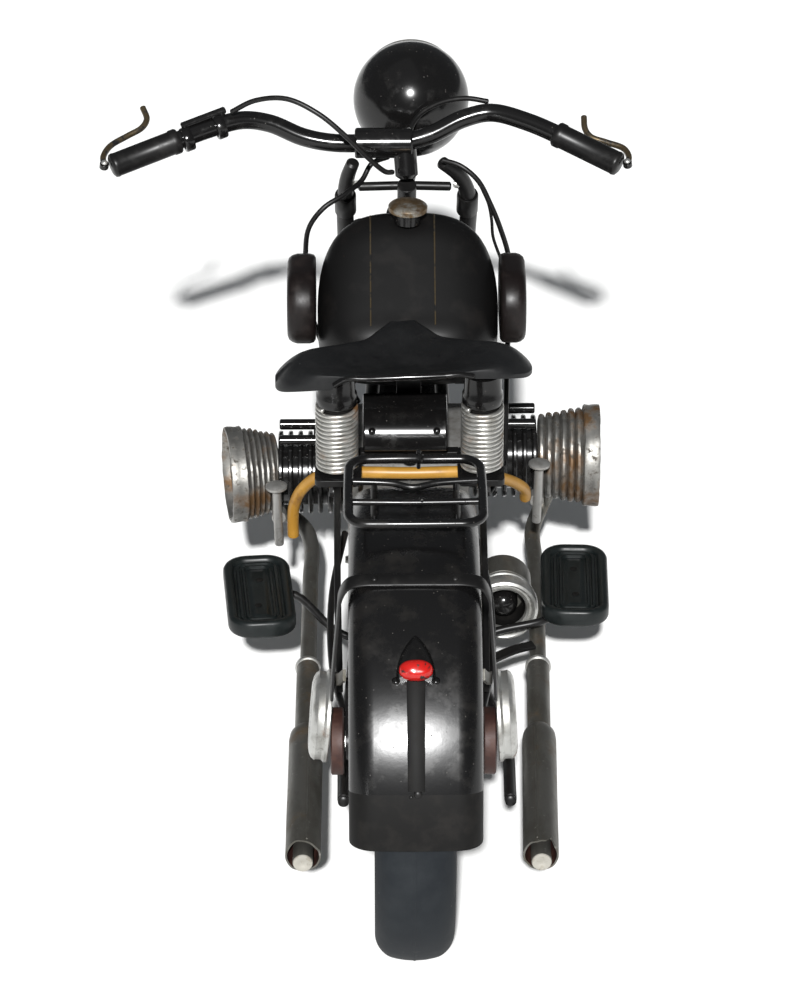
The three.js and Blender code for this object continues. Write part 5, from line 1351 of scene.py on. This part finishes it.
# ---------------------------------------------------------------- cables
CABLES = {
    "cable_bar_left": [(-44, 60.2, 136.4), (-38, 60, 139.6), (-30, 58, 141), (-22, 55.6, 138), (-15, 54, 132.4),
                       (-9.6, 54, 126.6), (-5.4, 55, 122.4), (-3.4, 57.6, 121)],
    "cable_bar_right": [(21, 67.4, 135.8), (15, 68.6, 136.2), (8, 69.4, 134.4), (3, 69.4, 131), (1, 69, 127.4),
                        (0.6, 67.6, 123.6)],
    "cable_left": [(-4, 66, 121.6), (-8.4, 66.6, 119.4), (-11, 64, 116), (-15.4, 59, 114.4), (-20.6, 56.4, 112),
                   (-24.4, 55.4, 107), (-25.4, 55, 100), (-25, 54, 88),
                   (-21, 50, 76), (-14.4, 41, 69), (-12, 37, 66.8)],
    "cable_right": [(8.4, 60, 123.4), (13, 58.6, 122.4), (17.4, 57.4, 119), (20.6, 56.6, 113), (23.4, 56, 106),
                    (25.6, 55.6, 98), (25.8, 53, 88), (25, 42, 78),
                    (24.4, 30, 69), (23.6, 20, 61), (20, 12.6, 55), (13.4, 9.6, 52)],
}
# Where the cables turn from the chassis to the fork. make() reads only that this is given, and bakes each such cable
# where it lies, tied to neither part.
CABLE_BEND = ("chassis", "fork", Vector((0, 56, 106)) * MM, Vector((0, 61, 120)) * MM)
for node, pts in CABLES.items():
    path = fit(node, pts, 0.65)
    loose = node in ("cable_left", "cable_right")
    how = {"blend": CABLE_BEND} if loose else {"body": "fork"}
    make(node + "_sleeve", [tube(path, 0.66, 12, 8)], "satin_black", replaces=node, **how)
branch = [(18.6, 57.0, 117), (20.4, 56.8, 112.6), (21.2, 56.4, 108.4), (21.6, 55.8, 104), (23.6, 55.4, 98)]
make("cable_right_branch", [tube(branch, 0.4, 10, 6)], "satin_black", blend=CABLE_BEND)

# ---------------------------------------------------------------- centre stand
foot = strip([(-13.5, 0, 1), (13.5, 0, 1)], bar_section(1.5, 1), (0, 0, 1), 1)
legs = [tube([(s * 12.3, 0, 1.4), (s * 10.4, -7, 22)], 1.3, 16, 1, bend=False) for s in (-1, 1)]
pin = rod((-11.4, -7, 22), (11.4, -7, 22), 1.3, 20)
make("centre_stand_frame", [foot, *legs, pin], "satin_black", "centre_stand", "centre_stand", bevel=0.2)

# ---------------------------------------------------------------- floor, light and camera
floor_mesh = bpy.data.meshes.new("floor")
floor_mesh.from_pydata([(-6, -6, 0), (6, -6, 0), (6, 6, 0), (-6, 6, 0)], [], [(0, 1, 2, 3)])
floor = bpy.data.objects.new("floor", floor_mesh)
bpy.context.scene.collection.objects.link(floor)
floor_mesh.materials.append(finish("floor_paper", (0.90, 0.90, 0.89), 0.85))

AIM = Vector((-0.002, 0.0, 0.060))
ELEVATION, AZIMUTH, DISTANCE = math.radians(30), math.radians(0.5), 0.900
SENSOR_MM, FOCAL_MM = 36, 132.84
look = Vector((math.sin(AZIMUTH) * math.cos(ELEVATION), math.cos(AZIMUTH) * math.cos(ELEVATION), -math.sin(ELEVATION)))
camera_data = bpy.data.cameras.new("camera")
camera_data.sensor_width = SENSOR_MM
camera_data.lens = FOCAL_MM
camera_data.clip_start, camera_data.clip_end = 0.01, 50
camera = bpy.data.objects.new("camera", camera_data)
camera.location = AIM - look * DISTANCE
camera.rotation_mode = "QUATERNION"
camera.rotation_quaternion = look.to_track_quat("-Z", "Y")
bpy.context.scene.collection.objects.link(camera)
bpy.context.scene.camera = camera


def towards(o, target):
    o.rotation_mode = "QUATERNION"
    o.rotation_quaternion = (Vector(target) - o.location).to_track_quat("-Z", "Y")


def lamp_object(kind, name, at, target, energy, **settings):
    data = bpy.data.lights.new(name, kind)
    data.energy = energy
    for key, value in settings.items():
        setattr(data, key, value)
    o = bpy.data.objects.new(name, data)
    o.location = at
    towards(o, target)
    bpy.context.scene.collection.objects.link(o)
    return o


lamp_object("SUN", "main_light", (-0.03, -0.78, 0.622), (0.0, 0.0, 0.06), 6.4, angle=math.radians(1.8))
lamp_object("AREA", "soft_top", (-0.25, -0.1, 0.95), (0, 0, 0.05), 0.3, size=0.9)
lamp_object("AREA", "low_kicker", (-0.215, -0.47, 0.11), (0, 0.08, 0.128), 0.05, size=0.03)
world = bpy.data.worlds.new("studio")
world.use_nodes = True
world.node_tree.nodes["Background"].inputs["Color"].default_value = (0.9, 0.95, 1.0, 1)
world.node_tree.nodes["Background"].inputs["Strength"].default_value = 0.12
bpy.context.scene.world = world
bpy.context.scene.view_settings.view_transform = "Standard"
